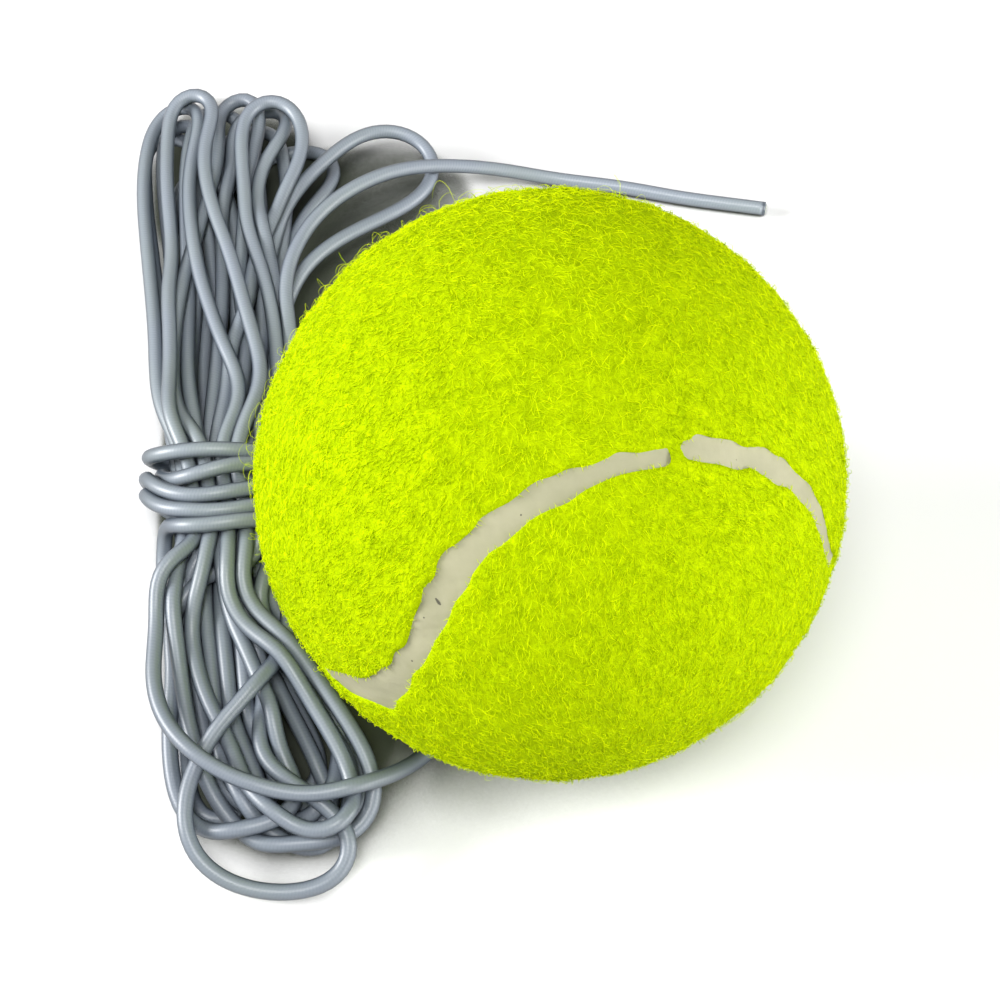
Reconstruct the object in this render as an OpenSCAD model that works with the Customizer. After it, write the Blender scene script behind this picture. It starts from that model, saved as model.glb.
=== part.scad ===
// Tennis training ball with an elastic tether put away as a tied hank.
// The ball stands on the origin, +Z is up, the hank lies on its -X side
// and the tether's free end points towards +X behind the ball.

/* [Ball] */
// Diameter over the felt
ball_d = 66; // [62:0.5:70]
// Thickness of the felt
felt_t = 3; // [2.4:0.1:4]
// Wall of the rubber core
core_wall = 4.2; // [3:0.1:5]
// Thickness of the cement between the two halves of the core
cement_t = 0.3; // [0.2:0.05:0.6]
// Width of the cement squeezed out inside the core
bead_w = 1.6; // [1:0.1:2.4]
// Height of that bead over the core's inner wall
bead_h = 0.9; // [0.5:0.1:1.5]
// Width of the seam strip between the felt panels
seam_w = 3; // [1.6:0.1:4]
// How far the seam strip lies below the top of the felt
seam_drop = 1.2; // [0.4:0.1:2]
// Gap between the seam strip and each felt edge
seam_gap = 0.05; // [0.02:0.01:0.1]
// Turn of the seam pattern about X, in degrees
seam_turn_x = -6; // [-180:1:180]
// Turn of the seam pattern about Y, in degrees
seam_turn_y = -29; // [-90:1:90]
// Turn of the seam pattern about Z, in degrees
seam_turn_z = -119; // [-180:1:180]

/* [Tether hole] */
// Direction of the hole seen from above, in degrees from +X
hole_az = 233; // [225:1:240]
// How far below level the hole points, in degrees
hole_drop = 60; // [56:1:62]
// Radial clearance of the tether in the core
bore_gap = 0.05; // [0.02:0.01:0.1]
// Radial clearance of the tether in the felt
felt_hole_gap = 0.4; // [0.2:0.1:1]
// Diameter of the stop knot inside the core
knot_d = 5.4; // [4.6:0.1:7]
// Clearance between the stop knot and the core
knot_gap = 0.1; // [0.05:0.01:0.2]
// Length of the end left behind the stop knot
knot_end = 6; // [3:0.5:10]
// Straight stretch of the tether outside the ball
neck_out = 1; // [0.6:0.1:2]
// Radius of the bend that lays the tether on the table
lead_bend_r = 5; // [4:0.5:6]

/* [Tether] */
// Diameter of the tether
cord_d = 2; // [1.8:0.1:2]
// Diameter of the rubber inside its braided sheath
cord_rubber_d = 1.4; // [1:0.1:1.6]
// Length of the straight, cut free end
end_l = 8; // [6:0.5:12]
// Direction of the free end, in degrees from +X
end_az = -11; // [-20:1:0]
// Height of a lying strand over the table
lie_gap = 0.06; // [0.05:0.01:0.2]

/* [Hank] */
// Turns in each layer
layer_turns = 3; // [3:1:3]
// Layers on each other
layers = 4; // [2:2:4]
// Distance between strands drawn in at the waist
waist_step = 2.5; // [2.5:0.05:2.6]
// Distance between strands in the fanned ends
fan_step = 2.75; // [2.7:0.05:3]
// Half the opening of the innermost loop in the fanned ends
fan_eye = 3.5; // [3:0.1:5]
// Distance between layers
layer_step = 2.65; // [2.65:0.05:2.8]
// Distance from the waist to the far loops' bend centres
far_run = 60; // [50:1:66]
// Distance from the waist to the near loops' bend centres
near_run = 38; // [34:1:44]
// How much earlier each higher layer's far loops bend
far_stair = 2; // [0:0.5:4]
// How much earlier each higher layer's near loops bend
near_stair = 4; // [2:0.5:5]
// Half the length that the winding keeps drawn in
waist_half = 8; // [7:0.5:10]
// X of the waist's middle
waist_x = -39; // [-45:0.5:-39]
// Y of the waist's middle
waist_y = 12; // [8:0.5:16]
// Lean of the hank at its waist, in degrees to the left of +Y
waist_lean = 9; // [5:1:12]
// Radius of the bow that the whole hank lies in
bow_r = 480; // [400:10:600]

/* [Winding] */
// Turns round the waist
bind_turns = 5; // [4:1:5]
// Distance between those turns
bind_step = 2.7; // [2.45:0.05:2.8]
// Radius of each turn's corners
bind_corner_r = 3.2; // [3:0.1:3.3]
// Slack between a turn and the strands that it holds
bind_slack = 0.9; // [0.8:0.05:1]
// Distance from the waist's middle to where the hank's two ends lie
join_v = 11; // [10:0.5:12]

/* [Hidden] */

$fn = 96;
// Everything that is cut is cut this far past its faces
overrun = 2;
ball_r = ball_d / 2;
core_r = ball_r - felt_t;
core_inner_r = core_r - core_wall;
seam_r = ball_r - seam_drop;
cord_r = cord_d / 2;
// Each half-circle of the seam has this angle about its lobe's middle
lobe_angle = 45;
seam_half = asin(seam_w / 2 / ball_r);
felt_half = asin((seam_w / 2 + seam_gap) / ball_r);
far = 2 * ball_r;

// Strand height over the table, from the lowest layer up
lie_z = cord_r + lie_gap;
ring_count = 24;
run_half_angle = 45;
// Distance from a turn of the winding to the strands that it holds
bind_space = cord_d + bind_slack;
// The waist is lifted so that the winding passes under it
lift = bind_space;
waist_mid_z = lie_z + lift + (layers - 1) / 2 * layer_step;

// Route of the lead from the table under the ball to the hank
LEAD_POINTS = [[-14.3, -19.4, 1.1], [-15.8, -22.3, 2.1], [-17.2, -25.2, 4.1], [-19.2, -28, 6.7],
               [-22.2, -30.2, 8.6], [-26, -30.8, 9.1], [-31.2, -29.9, 9.1], [-36.3, -27.3, 9.1],
               [-41, -22.4, 9.3], [-44.8, -16.6, 9.8], [-46.2, -10.6, 10.6], [-46.2, -5.2, 11.4]];
// Route of the tail from the winding over the hank to the table behind the ball
TAIL_POINTS = [[-37.6, 18.4, 14.8], [-34.9, 19.8, 14.8], [-33, 22.6, 14.8], [-32.8, 26.4, 14.6],
               [-33.8, 31, 14.1], [-35, 36.4, 13.5], [-35.4, 42, 12.7], [-34.8, 47.6, 12],
               [-33, 53, 11.4], [-29.6, 58.8, 10], [-25, 63.6, 7], [-19.4, 67, 4],
               [-13, 69.2, 1.9], [-6, 70.4, 1.1], [2, 70.2, 1.1], [10, 69, 1.1],
               [17.6, 67.7, 1.1]];
// Where the straight free end begins
END_POINT = [24.7, 66.4, lie_z];

// Vector and path helpers
function unit(v) = v / norm(v);
function lerp(a, b, t) = a + (b - a) * t;
function clamp01(t) = max(0, min(1, t));
function ease(t) = let (c = clamp01(t)) c * c * (3 - 2 * c);
function last(list) = list[len(list) - 1];
function total(list, i = 0) = i < len(list) ? list[i] + total(list, i + 1) : 0;
function path_length(path) = total([for (i = [1:len(path) - 1]) norm(path[i] - path[i - 1])]);

// A smooth curve through the points, with the given number of steps between two of them
function curve_point(p, i, t) =
    let (a = p[max(i - 1, 0)], b = p[i], c = p[i + 1], d = p[min(i + 2, len(p) - 1)])
    0.5 * (2 * b + (c - a) * t + (2 * a - 5 * b + 4 * c - d) * t * t
           + (3 * b - a - 3 * c + d) * t * t * t);
function smooth(p, steps) = concat(
    [for (i = [0:len(p) - 2], s = [0:steps - 1]) curve_point(p, i, s / steps)],
    [last(p)]);

// Direction of a path at one of its points
function heading(path, i) = unit(path[min(i + 1, len(path) - 1)] - path[max(i - 1, 0)]);
function square_to(n, t) = unit(n - (n * t) * t);
function side_vectors(path, first) = [
    for (i = 0, n = square_to(first, heading(path, 0));
         i < len(path);
         i = i + 1, n = i < len(path) ? square_to(n, heading(path, i)) : n) n];

// One unbroken tube along a path
module tube(path, r, sides, first) {
    n = side_vectors(path, first);
    count = len(path);
    points = [for (i = [0:count - 1], s = [0:sides - 1])
        let (t = heading(path, i), m = cross(t, n[i]), a = 360 * s / sides)
        path[i] + r * (cos(a) * n[i] + sin(a) * m)];
    walls = [for (i = [0:count - 2], s = [0:sides - 1], half = [0, 1])
        let (a = i * sides + s, b = i * sides + (s + 1) % sides)
        half == 0 ? [a, a + sides, b + sides] : [a, b + sides, b]];
    start_cap = [for (s = [1:sides - 2]) [0, s, s + 1]];
    base = (count - 1) * sides;
    end_cap = [for (s = [1:sides - 2]) [base, base + s + 1, base + s]];
    polyhedron(points = points, faces = concat(walls, start_cap, end_cap));
}

// Ball
module at_ball() {
    translate([0, 0, ball_r]) children();
}

module along_hole() {
    at_ball() rotate([0, 90 + hole_drop, hole_az]) children();
}

module seam_pattern() {
    at_ball() rotate([seam_turn_x, seam_turn_y, seam_turn_z]) children();
}

module shell(outer_r, inner_r) {
    difference() {
        sphere(r = outer_r);
        sphere(r = inner_r);
    }
}

// Half of space above or below a level plane
module half_space(side, from) {
    translate([0, 0, side * (from + far / 2)]) cube([2 * far, 2 * far, far], center = true);
}

// Section through a layer of the ball, between two angles from a lobe's middle
module layer_section(outer_r, from, to) {
    middle = (from + to) / 2;
    intersection() {
        difference() {
            circle(r = outer_r);
            circle(r = core_r);
        }
        polygon([[0, 0], far * [sin(from), cos(from)], far * [sin(middle), cos(middle)],
                 far * [sin(to), cos(to)]]);
    }
}

// That section turned through half a circle about the lobe whose middle lies at the azimuth,
// on the upper or the lower side of the seam pattern
module half_turn(az, side) {
    rotate([0, 90, az]) rotate([0, 0, 90 * side]) rotate_extrude(angle = 180) children();
}

// A panel is a half band over the top and the half lobes at its two ends
module felt_panel() {
    band_from = lobe_angle + felt_half;
    half_turn(lobe_angle, 1) layer_section(ball_r, band_from, 180 - band_from);
    for (az = [-lobe_angle, 180 - lobe_angle])
        half_turn(az, -1) layer_section(ball_r, 0, lobe_angle - felt_half);
}

module felt_hole() {
    along_hole() cylinder(h = far, r = cord_r + felt_hole_gap);
}

module felt_panel_a() {
    color("#c6ec05")
        difference() {
            seam_pattern() felt_panel();
            felt_hole();
        }
}

module felt_panel_b() {
    color("#c6ec05")
        difference() {
            seam_pattern() rotate([180, 0, 0]) felt_panel();
            felt_hole();
        }
}

// One half-circle of the seam strip, on the upper or the lower side of the seam pattern
module seam_arc(az, side) {
    low = lobe_angle - seam_half;
    high = lobe_angle + seam_half;
    intersection() {
        shell(seam_r, core_r);
        half_space(side, 0);
        rotate([0, 90, az])
            rotate_extrude()
                polygon([core_inner_r * [sin(low), cos(low)], far * [sin(low), cos(low)],
                         far * [sin(high), cos(high)], core_inner_r * [sin(high), cos(high)]]);
    }
}

module seam_strip() {
    color("#cfd2b0")
        seam_pattern() for (i = [0:3]) seam_arc(90 * i - lobe_angle, i % 2 == 0 ? -1 : 1);
}

module core_half(side) {
    intersection() {
        shell(core_r, core_inner_r);
        half_space(side, cement_t / 2);
    }
}

module core_hole_half() {
    color("#3c3f42")
        along_hole()
            difference() {
                core_half(1);
                cylinder(h = far, r = cord_r + bore_gap);
            }
}

module core_plain_half() {
    color("#3c3f42") along_hole() core_half(-1);
}

module core_cement() {
    bead_inner_r = core_inner_r - bead_h;
    bead_outer_r = sqrt(core_inner_r * core_inner_r - bead_w * bead_w / 4) - seam_gap;
    color("#b9a06a")
        along_hole()
            difference() {
                union() {
                    cylinder(h = cement_t, r = core_r, center = true);
                    cylinder(h = bead_w, r = bead_outer_r, center = true);
                }
                cylinder(h = bead_w + overrun, r = bead_inner_r, center = true);
            }
}

// Tether inside the ball and through its wall, along the hole's axis
knot_ring_r = knot_d / 2 - cord_r;
knot_rings = 3;
knot_ring_step = 0.85 * cord_d;
knot_top = sqrt(core_inner_r * core_inner_r - knot_d * knot_d / 4) - knot_gap;
knot_seat = knot_top - 0.3 * cord_r;

module cord_knot() {
    first = knot_top - cord_r;
    bottom = first - (knot_rings - 1) * knot_ring_step;
    color("#8f98a6")
        along_hole()
            union() {
                for (i = [0:knot_rings - 1])
                    translate([0, 0, first - i * knot_ring_step])
                        rotate_extrude() translate([knot_ring_r, 0]) circle(r = cord_r);
                translate([0, 0, bottom]) cylinder(h = knot_seat - bottom, r = knot_ring_r);
                translate([0, 0, bottom - knot_end]) cylinder(h = knot_end, r = cord_r);
            }
}

module cord_neck() {
    color("#8f98a6")
        along_hole()
            translate([0, 0, knot_seat]) cylinder(h = ball_r + neck_out - knot_seat, r = cord_r);
}

// The lead bends down from the neck's end on to the table
out_level = [cos(hole_az), sin(hole_az), 0];
neck_end = [0, 0, ball_r]
    + (ball_r + neck_out) * (cos(hole_drop) * out_level - sin(hole_drop) * [0, 0, 1]);
bend_steps = 5;
function bend_point(a) = neck_end
    + lead_bend_r * ((sin(hole_drop) - sin(a)) * out_level
                     - (cos(a) - cos(hole_drop)) * [0, 0, 1]);
bend_path = [for (i = [0:bend_steps]) bend_point(hole_drop * (1 - i / bend_steps))];

// Hank: v runs along it from the waist, w across it and z up
function bow_angle(v) = waist_lean - v / bow_r * 180 / PI;
function bow_place(v, w) =
    let (a = bow_angle(v), r = bow_r)
    [waist_x + r * (cos(waist_lean) - cos(a)) + w * cos(a),
     waist_y + r * (sin(waist_lean) - sin(a)) + w * sin(a)];
function fan(v) = v > 0 ? ease((v - waist_half) / (0.6 * far_run))
                        : ease((-v - waist_half) / (0.7 * near_run));
// Distance of a strand from the hank's middle line, m strands out from the innermost one
function strand_w(m, v) = lerp((m + 0.25) * waist_step, fan_eye + m * fan_step, fan(v));
function zigzag(u) = let (p = 2 * layer_turns, q = u - p * max(0, floor(u / p)))
    layer_turns - abs(q - layer_turns);
function climbs(u) = total([for (k = [1:layers - 1]) ease((u - k * layer_turns) * 4 + 0.5)]);
function level(u) = layers - 1 - climbs(u);
function far_v(u) = far_run - far_stair * level(u);
function near_v(u) = near_stair * level(u) - near_run;
// Angles from the middle of the left run, where v grows, turn through the far loops
function run_v(u, q) = lerp(near_v(u), far_v(u), (q / run_half_angle + 1) / 2);
function run_angle(u, v) =
    run_half_angle * (2 * (v - near_v(u)) / (far_v(u) - near_v(u)) - 1);
function hank_point(u) =
    let (m = layer_turns - zigzag(u),
         q = 360 * (u - floor(u + 0.5)),
         left = abs(q) <= run_half_angle,
         right = abs(q) >= 180 - run_half_angle,
         v0 = left ? run_v(u, q)
            : right ? run_v(u, (q > 0 ? 180 : -180) - q)
            : q > 0 ? far_v(u) : near_v(u),
         r = strand_w(m, v0),
         bend = q > 0 ? 180 - 2 * (q - run_half_angle) : 180 - 2 * (q + run_half_angle),
         v = left || right ? v0 : v0 + r * sin(bend),
         w = left ? -r : right ? r : r * cos(bend),
         xy = bow_place(v, w))
    [xy[0], xy[1], lie_z + level(u) * layer_step + lift * (1 - fan(v))];
loop_count = layers * layer_turns;
hank_start = run_angle(0, -join_v) / 360;
hank_stop = loop_count + run_angle(loop_count, -join_v) / 360;
hank_steps = loop_count * ring_count;
hank_path = [for (i = [0:hank_steps]) hank_point(lerp(hank_start, hank_stop, i / hank_steps))];

// Winding: a rounded rectangle that travels along the waist
bind_left = (layer_turns + 0.25) * waist_step + bind_space;
bind_right = (layer_turns - 0.25) * waist_step + bind_space;
bind_half_z = (layers - 1) / 2 * layer_step + bind_space;
bind_v = -(bind_turns - 1) / 2 * bind_step;
function waist_place(v, w, z) = let (xy = bow_place(v, w)) [xy[0], xy[1], waist_mid_z + z];
// A turn runs up the left side, over the top, down the right side and back underneath
bind_section = [for (corner = [0:3], s = [0:3])
    let (a = 180 - corner * 90 - s * 30,
         w = corner == 0 || corner == 3 ? bind_corner_r - bind_left : bind_right - bind_corner_r,
         z = (corner < 2 ? 1 : -1) * (bind_half_z - bind_corner_r))
    [w + bind_corner_r * cos(a), z + bind_corner_r * sin(a)]];
function bind_point(i) =
    let (count = len(bind_section), s = bind_section[i % count])
    waist_place(bind_v + bind_step * i / count, s[0], s[1]);
bind_count = (bind_turns - 1) * len(bind_section) + 4;

// The winding starts where the hank ends, under the waist's left edge, and stops on its top
hank_end = last(hank_path);
hank_out = unit(hank_end - hank_path[len(hank_path) - 2]);
strand_left = bind_left - bind_space;
bind_path = concat(
    [hank_end, hank_end + cord_d * hank_out,
     waist_place(bind_v - 0.9 * cord_d, -strand_left - 0.2 * cord_d, -bind_half_z + bind_space),
     waist_place(bind_v - 0.3 * cord_d, -strand_left - cord_d, -bind_half_z + 1.1 * bind_space),
     waist_place(bind_v - 0.1 * cord_d, -bind_left, -bind_half_z + 2 * bind_space)],
    [for (i = [0:bind_count - 1]) bind_point(i)],
    [waist_place(bind_v + bind_step * (bind_turns - 1 + 0.2), 0, bind_half_z)]);

end_dir = [cos(end_az), sin(end_az), 0];
lead_path = smooth(concat([last(bend_path)], LEAD_POINTS, [hank_path[0]]), 3);
tail_path = smooth(concat([last(bind_path)], TAIL_POINTS, [END_POINT]), 3);

module cord_lead() {
    color("#9aa3b0") tube(concat(bend_path, [for (i = [1:len(lead_path) - 1]) lead_path[i]]),
                          cord_r, 8, [0, 0, 1]);
}

module cord_hank() {
    color("#9aa3b0") tube(hank_path, cord_r, 6, [0, 0, 1]);
}

module cord_binding() {
    color("#9aa3b0") tube(bind_path, cord_r, 6, [1, 0, 0]);
}

module cord_tail() {
    color("#9aa3b0") tube(tail_path, cord_r, 8, [0, 0, 1]);
}

module along_end() {
    translate(END_POINT) rotate([0, 90, end_az]) children();
}

module cord_end_sheath() {
    color("#9aa3b0")
        along_end()
            difference() {
                cylinder(h = end_l, r = cord_r);
                translate([0, 0, -overrun]) cylinder(h = end_l + 2 * overrun, d = cord_rubber_d);
            }
}

module cord_end_rubber() {
    color("#d8dbd2") along_end() cylinder(h = end_l, d = cord_rubber_d);
}

// Least gap of a tube to itself, counted between strands that are not neighbours
function point_gap(p, a, b) =
    let (ab = b - a, t = clamp01((p - a) * ab / (ab * ab))) norm(p - a - t * ab);
function self_gap(path, skip) = min([for (i = [0:len(path) - 1], j = [i + skip:1:len(path) - 2])
    point_gap(path[i], path[j], path[j + 1])]) - cord_d;

union() {
    echo(hank_gap = self_gap(hank_path, 8));
    echo(winding_gap = self_gap(bind_path, 6));
    echo(cord_length = knot_end + path_length(bend_path) + path_length(lead_path)
         + path_length(hank_path) + path_length(bind_path) + path_length(tail_path) + end_l);
}

core_hole_half();
core_plain_half();
core_cement();
felt_panel_a();
felt_panel_b();
seam_strip();
cord_knot();
cord_neck();
cord_lead();
cord_hank();
cord_binding();
cord_tail();
cord_end_sheath();
cord_end_rubber();
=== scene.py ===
"""Tennis training ball with its elastic tether put away as a hank tied round its waist.

Tables and dataclass fields hold millimetres. Meshes are in metres, in the shared frame: the ball
stands on the origin, +Z is up and the hank lies on its -X side.
"""
import logging
import math
from collections.abc import Callable
from dataclasses import dataclass
from enum import Enum

import bmesh
import bpy
import numpy as np
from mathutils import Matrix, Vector


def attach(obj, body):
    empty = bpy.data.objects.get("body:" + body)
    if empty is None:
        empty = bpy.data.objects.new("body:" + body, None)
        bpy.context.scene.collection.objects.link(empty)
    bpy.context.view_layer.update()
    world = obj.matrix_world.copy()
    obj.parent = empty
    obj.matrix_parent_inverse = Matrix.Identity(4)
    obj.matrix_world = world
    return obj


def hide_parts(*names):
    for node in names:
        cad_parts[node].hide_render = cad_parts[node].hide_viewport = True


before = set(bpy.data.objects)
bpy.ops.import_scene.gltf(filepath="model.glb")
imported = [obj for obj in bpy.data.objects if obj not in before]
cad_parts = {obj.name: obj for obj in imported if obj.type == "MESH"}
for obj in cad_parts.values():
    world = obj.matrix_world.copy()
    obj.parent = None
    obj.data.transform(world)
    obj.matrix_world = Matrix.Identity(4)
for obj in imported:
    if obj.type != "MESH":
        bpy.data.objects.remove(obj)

LOG = logging.getLogger("training_ball")
MM = 0.001
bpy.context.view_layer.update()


# Small helpers

def linear(code: str) -> tuple[float, float, float, float]:
    """Turns an sRGB hex colour into linear RGBA.

    Args:
        code: Six hex digits after a hash.

    Returns:
        Linear red, green, blue and an alpha of one.
    """
    parts = [int(code[i:i + 2], 16) / 255 for i in (1, 3, 5)]
    values = [c / 12.92 if c <= 0.04045 else ((c + 0.055) / 1.055) ** 2.4 for c in parts]
    return (*values, 1.0)


def add_node(tree: bpy.types.NodeTree, kind: str, settings: dict | None = None,
             inputs: dict | None = None) -> bpy.types.Node:
    """Adds one shader node with its settings and its links.

    Args:
        tree: Node tree that gets the node.
        kind: Blender's type name of the node.
        settings: Attributes of the node and their values.
        inputs: Input names or numbers, each with a value or the socket that feeds it.

    Returns:
        The new node.
    """
    node = tree.nodes.new(kind)
    for key, value in (settings or {}).items():
        setattr(node, key, value)
    for key, value in (inputs or {}).items():
        if isinstance(value, bpy.types.NodeSocket):
            tree.links.new(value, node.inputs[key])
        else:
            node.inputs[key].default_value = value
    return node


def unit(v: np.ndarray) -> np.ndarray:
    """Scales vectors to length one along their last axis."""
    return v / np.linalg.norm(v, axis=-1, keepdims=True)


def ripples(points: np.ndarray, size: float, seed: int, waves: int = 24) -> np.ndarray:
    """Smooth irregular heights made from plane waves.

    Args:
        points: Places in millimetres, one row each.
        size: Typical distance between bumps, in millimetres.
        seed: Seed of the directions and phases.
        waves: How many waves are summed.

    Returns:
        A value per point, mostly between -1 and 1.
    """
    rng = np.random.default_rng(seed)
    ways = unit(rng.normal(size=(waves, 3))) * rng.uniform(0.7, 1.4, (waves, 1))
    phases = rng.uniform(0, 2 * math.pi, waves)
    return np.sin(points @ ways.T * (2 * math.pi / size) + phases).sum(1) / math.sqrt(waves)


def smooth_line(points: np.ndarray, spacing: float) -> np.ndarray:
    """Lays one smooth curve through control points and walks along it in even steps.

    Args:
        points: Control points, one row each.
        spacing: Distance between the points returned.

    Returns:
        Evenly spaced points from the first control point to the last.
    """
    ends = np.vstack([2 * points[0] - points[1], points, 2 * points[-1] - points[-2]])
    pieces = []
    for a, b, c, d in zip(ends, ends[1:], ends[2:], ends[3:]):
        k = np.cumsum([0.0] + [np.linalg.norm(q - p) ** 0.5 for p, q in ((a, b), (b, c), (c, d))])
        t = np.linspace(k[1], k[2], 24, endpoint=False)[:, None]
        ab = a + (b - a) * (t - k[0]) / (k[1] - k[0])
        bc = b + (c - b) * (t - k[1]) / (k[2] - k[1])
        cd = c + (d - c) * (t - k[2]) / (k[3] - k[2])
        abc = ab + (bc - ab) * (t - k[0]) / (k[2] - k[0])
        bcd = bc + (cd - bc) * (t - k[1]) / (k[3] - k[1])
        pieces.append(abc + (bcd - abc) * (t - k[1]) / (k[2] - k[1]))
    pieces.append(points[-1:])
    return even_steps(np.vstack(pieces), spacing)


def even_steps(line: np.ndarray, spacing: float) -> np.ndarray:
    """Walks along a polyline in even steps of about the spacing.

    Args:
        line: Corners of the polyline, one row each.
        spacing: Wanted distance between the points returned.

    Returns:
        Evenly spaced points.
    """
    run = np.concatenate([[0], np.cumsum(np.linalg.norm(np.diff(line, axis=0), axis=1))])
    stations = np.linspace(0, run[-1], round(run[-1] / spacing) + 1)
    return np.stack([np.interp(stations, run, line[:, k]) for k in range(3)], axis=1)


def finish_piece(obj: bpy.types.Object, body: str, slot: str, *nodes: str) -> bpy.types.Object:
    """Says which body a piece rides on and which nodes it replaces.

    Args:
        obj: The finished piece.
        body: Name of the CAD body.
        slot: Material slot of the record; not used.
        nodes: CAD nodes that the piece stands for.

    Returns:
        The same piece.
    """
    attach(obj, body)
    if nodes:
        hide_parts(*nodes)
    LOG.info("%s: %d faces on %s", obj.name, len(obj.data.polygons), body)
    return obj


def mesh_piece(name: str, vertices: np.ndarray, faces: list[tuple[int, ...]],
               material: bpy.types.Material) -> bpy.types.Object:
    """Makes a smoothly shaded object at the origin from points in millimetres.

    Args:
        name: Name of the piece.
        vertices: Points in millimetres.
        faces: Corner numbers of each face.
        material: Finish of the piece.

    Returns:
        The new object.
    """
    mesh = bpy.data.meshes.new(name)
    mesh.from_pydata((vertices * MM).tolist(), [], faces)
    mesh.materials.append(material)
    mesh.polygons.foreach_set("use_smooth", [True] * len(mesh.polygons))
    obj = bpy.data.objects.new(name, mesh)
    bpy.context.scene.collection.objects.link(obj)
    return obj


def dress_node(node: str, material: bpy.types.Material) -> None:
    """Puts a finish on a CAD node that is carried over.

    Args:
        node: The node's name.
        material: Finish of the node.
    """
    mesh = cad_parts[node].data
    mesh.materials.clear()
    mesh.materials.append(material)


# Finishes

@dataclass(frozen=True)
class Finish:
    """A material that starts as a plain Principled surface."""

    name: str

    def material(self) -> bpy.types.Material:
        """Builds the node tree and returns the material.

        Returns:
            The new material.
        """
        made = bpy.data.materials.new(self.name)
        made.use_nodes = True
        tree = made.node_tree
        tree.nodes.clear()
        shader = add_node(tree, "ShaderNodeBsdfPrincipled")
        add_node(tree, "ShaderNodeOutputMaterial", inputs={"Surface": shader.outputs[0]})
        place = add_node(tree, "ShaderNodeTexCoord")
        self.dress(tree, shader, place)
        return made

    def dress(self, tree: bpy.types.NodeTree, shader: bpy.types.Node,
              place: bpy.types.Node) -> None:
        """Adds the surface's own detail; each finish has its own."""
        raise NotImplementedError


@dataclass(frozen=True)
class NeedleFelt(Finish):
    """Wool and nylon felt seen between its loose fibres: soft clumps, with painted shade in the
    hollows and painted light on the crowns of the bump.
    """

    painted_hollow_shade: str = "#a0bc00"
    body: str = "#c4df00"
    painted_crown_light: str = "#dcf400"
    bloom: str = "#dcff10"
    clump_mm: float = 1.3
    # A fibre is 0.02 mm thick. The pattern is drawn coarser, so that it shows.
    fibre_mm: float = 0.312

    def dress(self, tree: bpy.types.NodeTree, shader: bpy.types.Node,
              place: bpy.types.Node) -> None:
        """Mottles the felt and raises its fibres.

        Args:
            tree: The material's node tree.
            shader: Its Principled shader.
            place: Its texture coordinates.
        """
        clumps = add_node(tree, "ShaderNodeTexNoise", inputs={
            "Vector": place.outputs["Object"], "Scale": 1 / (self.clump_mm * MM), "Detail": 4.0,
            "Roughness": 0.65, "Distortion": 0.6})
        drawn = add_node(tree, "ShaderNodeVectorMath", {"operation": "MULTIPLY"}, {
            0: place.outputs["Object"], 1: (1.0, 1.0, 0.4)})
        fibres = add_node(tree, "ShaderNodeTexNoise", inputs={
            "Vector": drawn.outputs[0], "Scale": 1 / (self.fibre_mm * MM),
            "Detail": 3.0, "Roughness": 0.75, "Distortion": 1.4})
        low = add_node(tree, "ShaderNodeMapRange", inputs={
            "Value": fibres.outputs["Fac"], "From Min": 0.38, "From Max": 0.6})
        high = add_node(tree, "ShaderNodeMapRange", inputs={
            "Value": clumps.outputs["Fac"], "From Min": 0.45, "From Max": 0.75, "To Max": 0.7})
        # Painted shade: the colour darkens where the fibre pattern, part of the bump's height, is
        # low.
        shade = add_node(tree, "ShaderNodeMix", {"data_type": "RGBA"}, {
            "Factor": low.outputs["Result"], "A": linear(self.painted_hollow_shade), "B": linear(self.body)})
        # Painted light: the crowns of the clumps, high in the bump, turn lighter.
        colour = add_node(tree, "ShaderNodeMix", {"data_type": "RGBA"}, {
            "Factor": high.outputs["Result"], "A": shade.outputs["Result"],
            "B": linear(self.painted_crown_light)})
        height = add_node(tree, "ShaderNodeMath", {"operation": "ADD"}, {
            0: fibres.outputs["Fac"], 1: clumps.outputs["Fac"]})
        bump = add_node(tree, "ShaderNodeBump", inputs={
            "Height": height.outputs[0], "Strength": 0.9, "Distance": 0.22 * MM})
        tree.links.new(colour.outputs["Result"], shader.inputs["Base Color"])
        tree.links.new(bump.outputs["Normal"], shader.inputs["Normal"])
        shader.inputs["Roughness"].default_value = 0.95
        shader.inputs["Specular IOR Level"].default_value = 0.04
        shader.inputs["Sheen Weight"].default_value = 0.2
        shader.inputs["Sheen Tint"].default_value = linear(self.bloom)


@dataclass(frozen=True)
class NapFibre(Finish):
    """Single dyed fibres of the nap: thin, a little glossy, each of its own shade.

    A shade below zero leads on to a dark colour: painted shade in the crease.
    """

    painted_crease_shade: str = "#728800"
    deep: str = "#bcd800"
    bright: str = "#f1ff00"
    bloom: str = "#e6ff10"

    def dress(self, tree: bpy.types.NodeTree, shader: bpy.types.Node,
              place: bpy.types.Node) -> None:
        """Gives every fibre its own shade from the attribute that its mesh carries.

        Args:
            tree: The material's node tree.
            shader: Its Principled shader.
            place: Its texture coordinates.
        """
        shade = add_node(tree, "ShaderNodeAttribute", {"attribute_name": "shade"})
        colour = add_node(tree, "ShaderNodeMix", {"data_type": "RGBA"}, {
            "Factor": shade.outputs["Fac"], "A": linear(self.deep), "B": linear(self.bright)})
        # Below zero a fibre takes the crease's painted shade.
        sunk = add_node(tree, "ShaderNodeMath", {"operation": "MULTIPLY"}, {
            0: shade.outputs["Fac"], 1: -1.0})
        colour = add_node(tree, "ShaderNodeMix", {"data_type": "RGBA"}, {
            "Factor": sunk.outputs[0], "A": colour.outputs["Result"], "B": linear(self.painted_crease_shade)})
        tree.links.new(colour.outputs["Result"], shader.inputs["Base Color"])
        shader.inputs["Roughness"].default_value = 0.75
        shader.inputs["Specular IOR Level"].default_value = 0.06
        shader.inputs["Sheen Weight"].default_value = 0.2
        shader.inputs["Sheen Tint"].default_value = linear(self.bloom)


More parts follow.
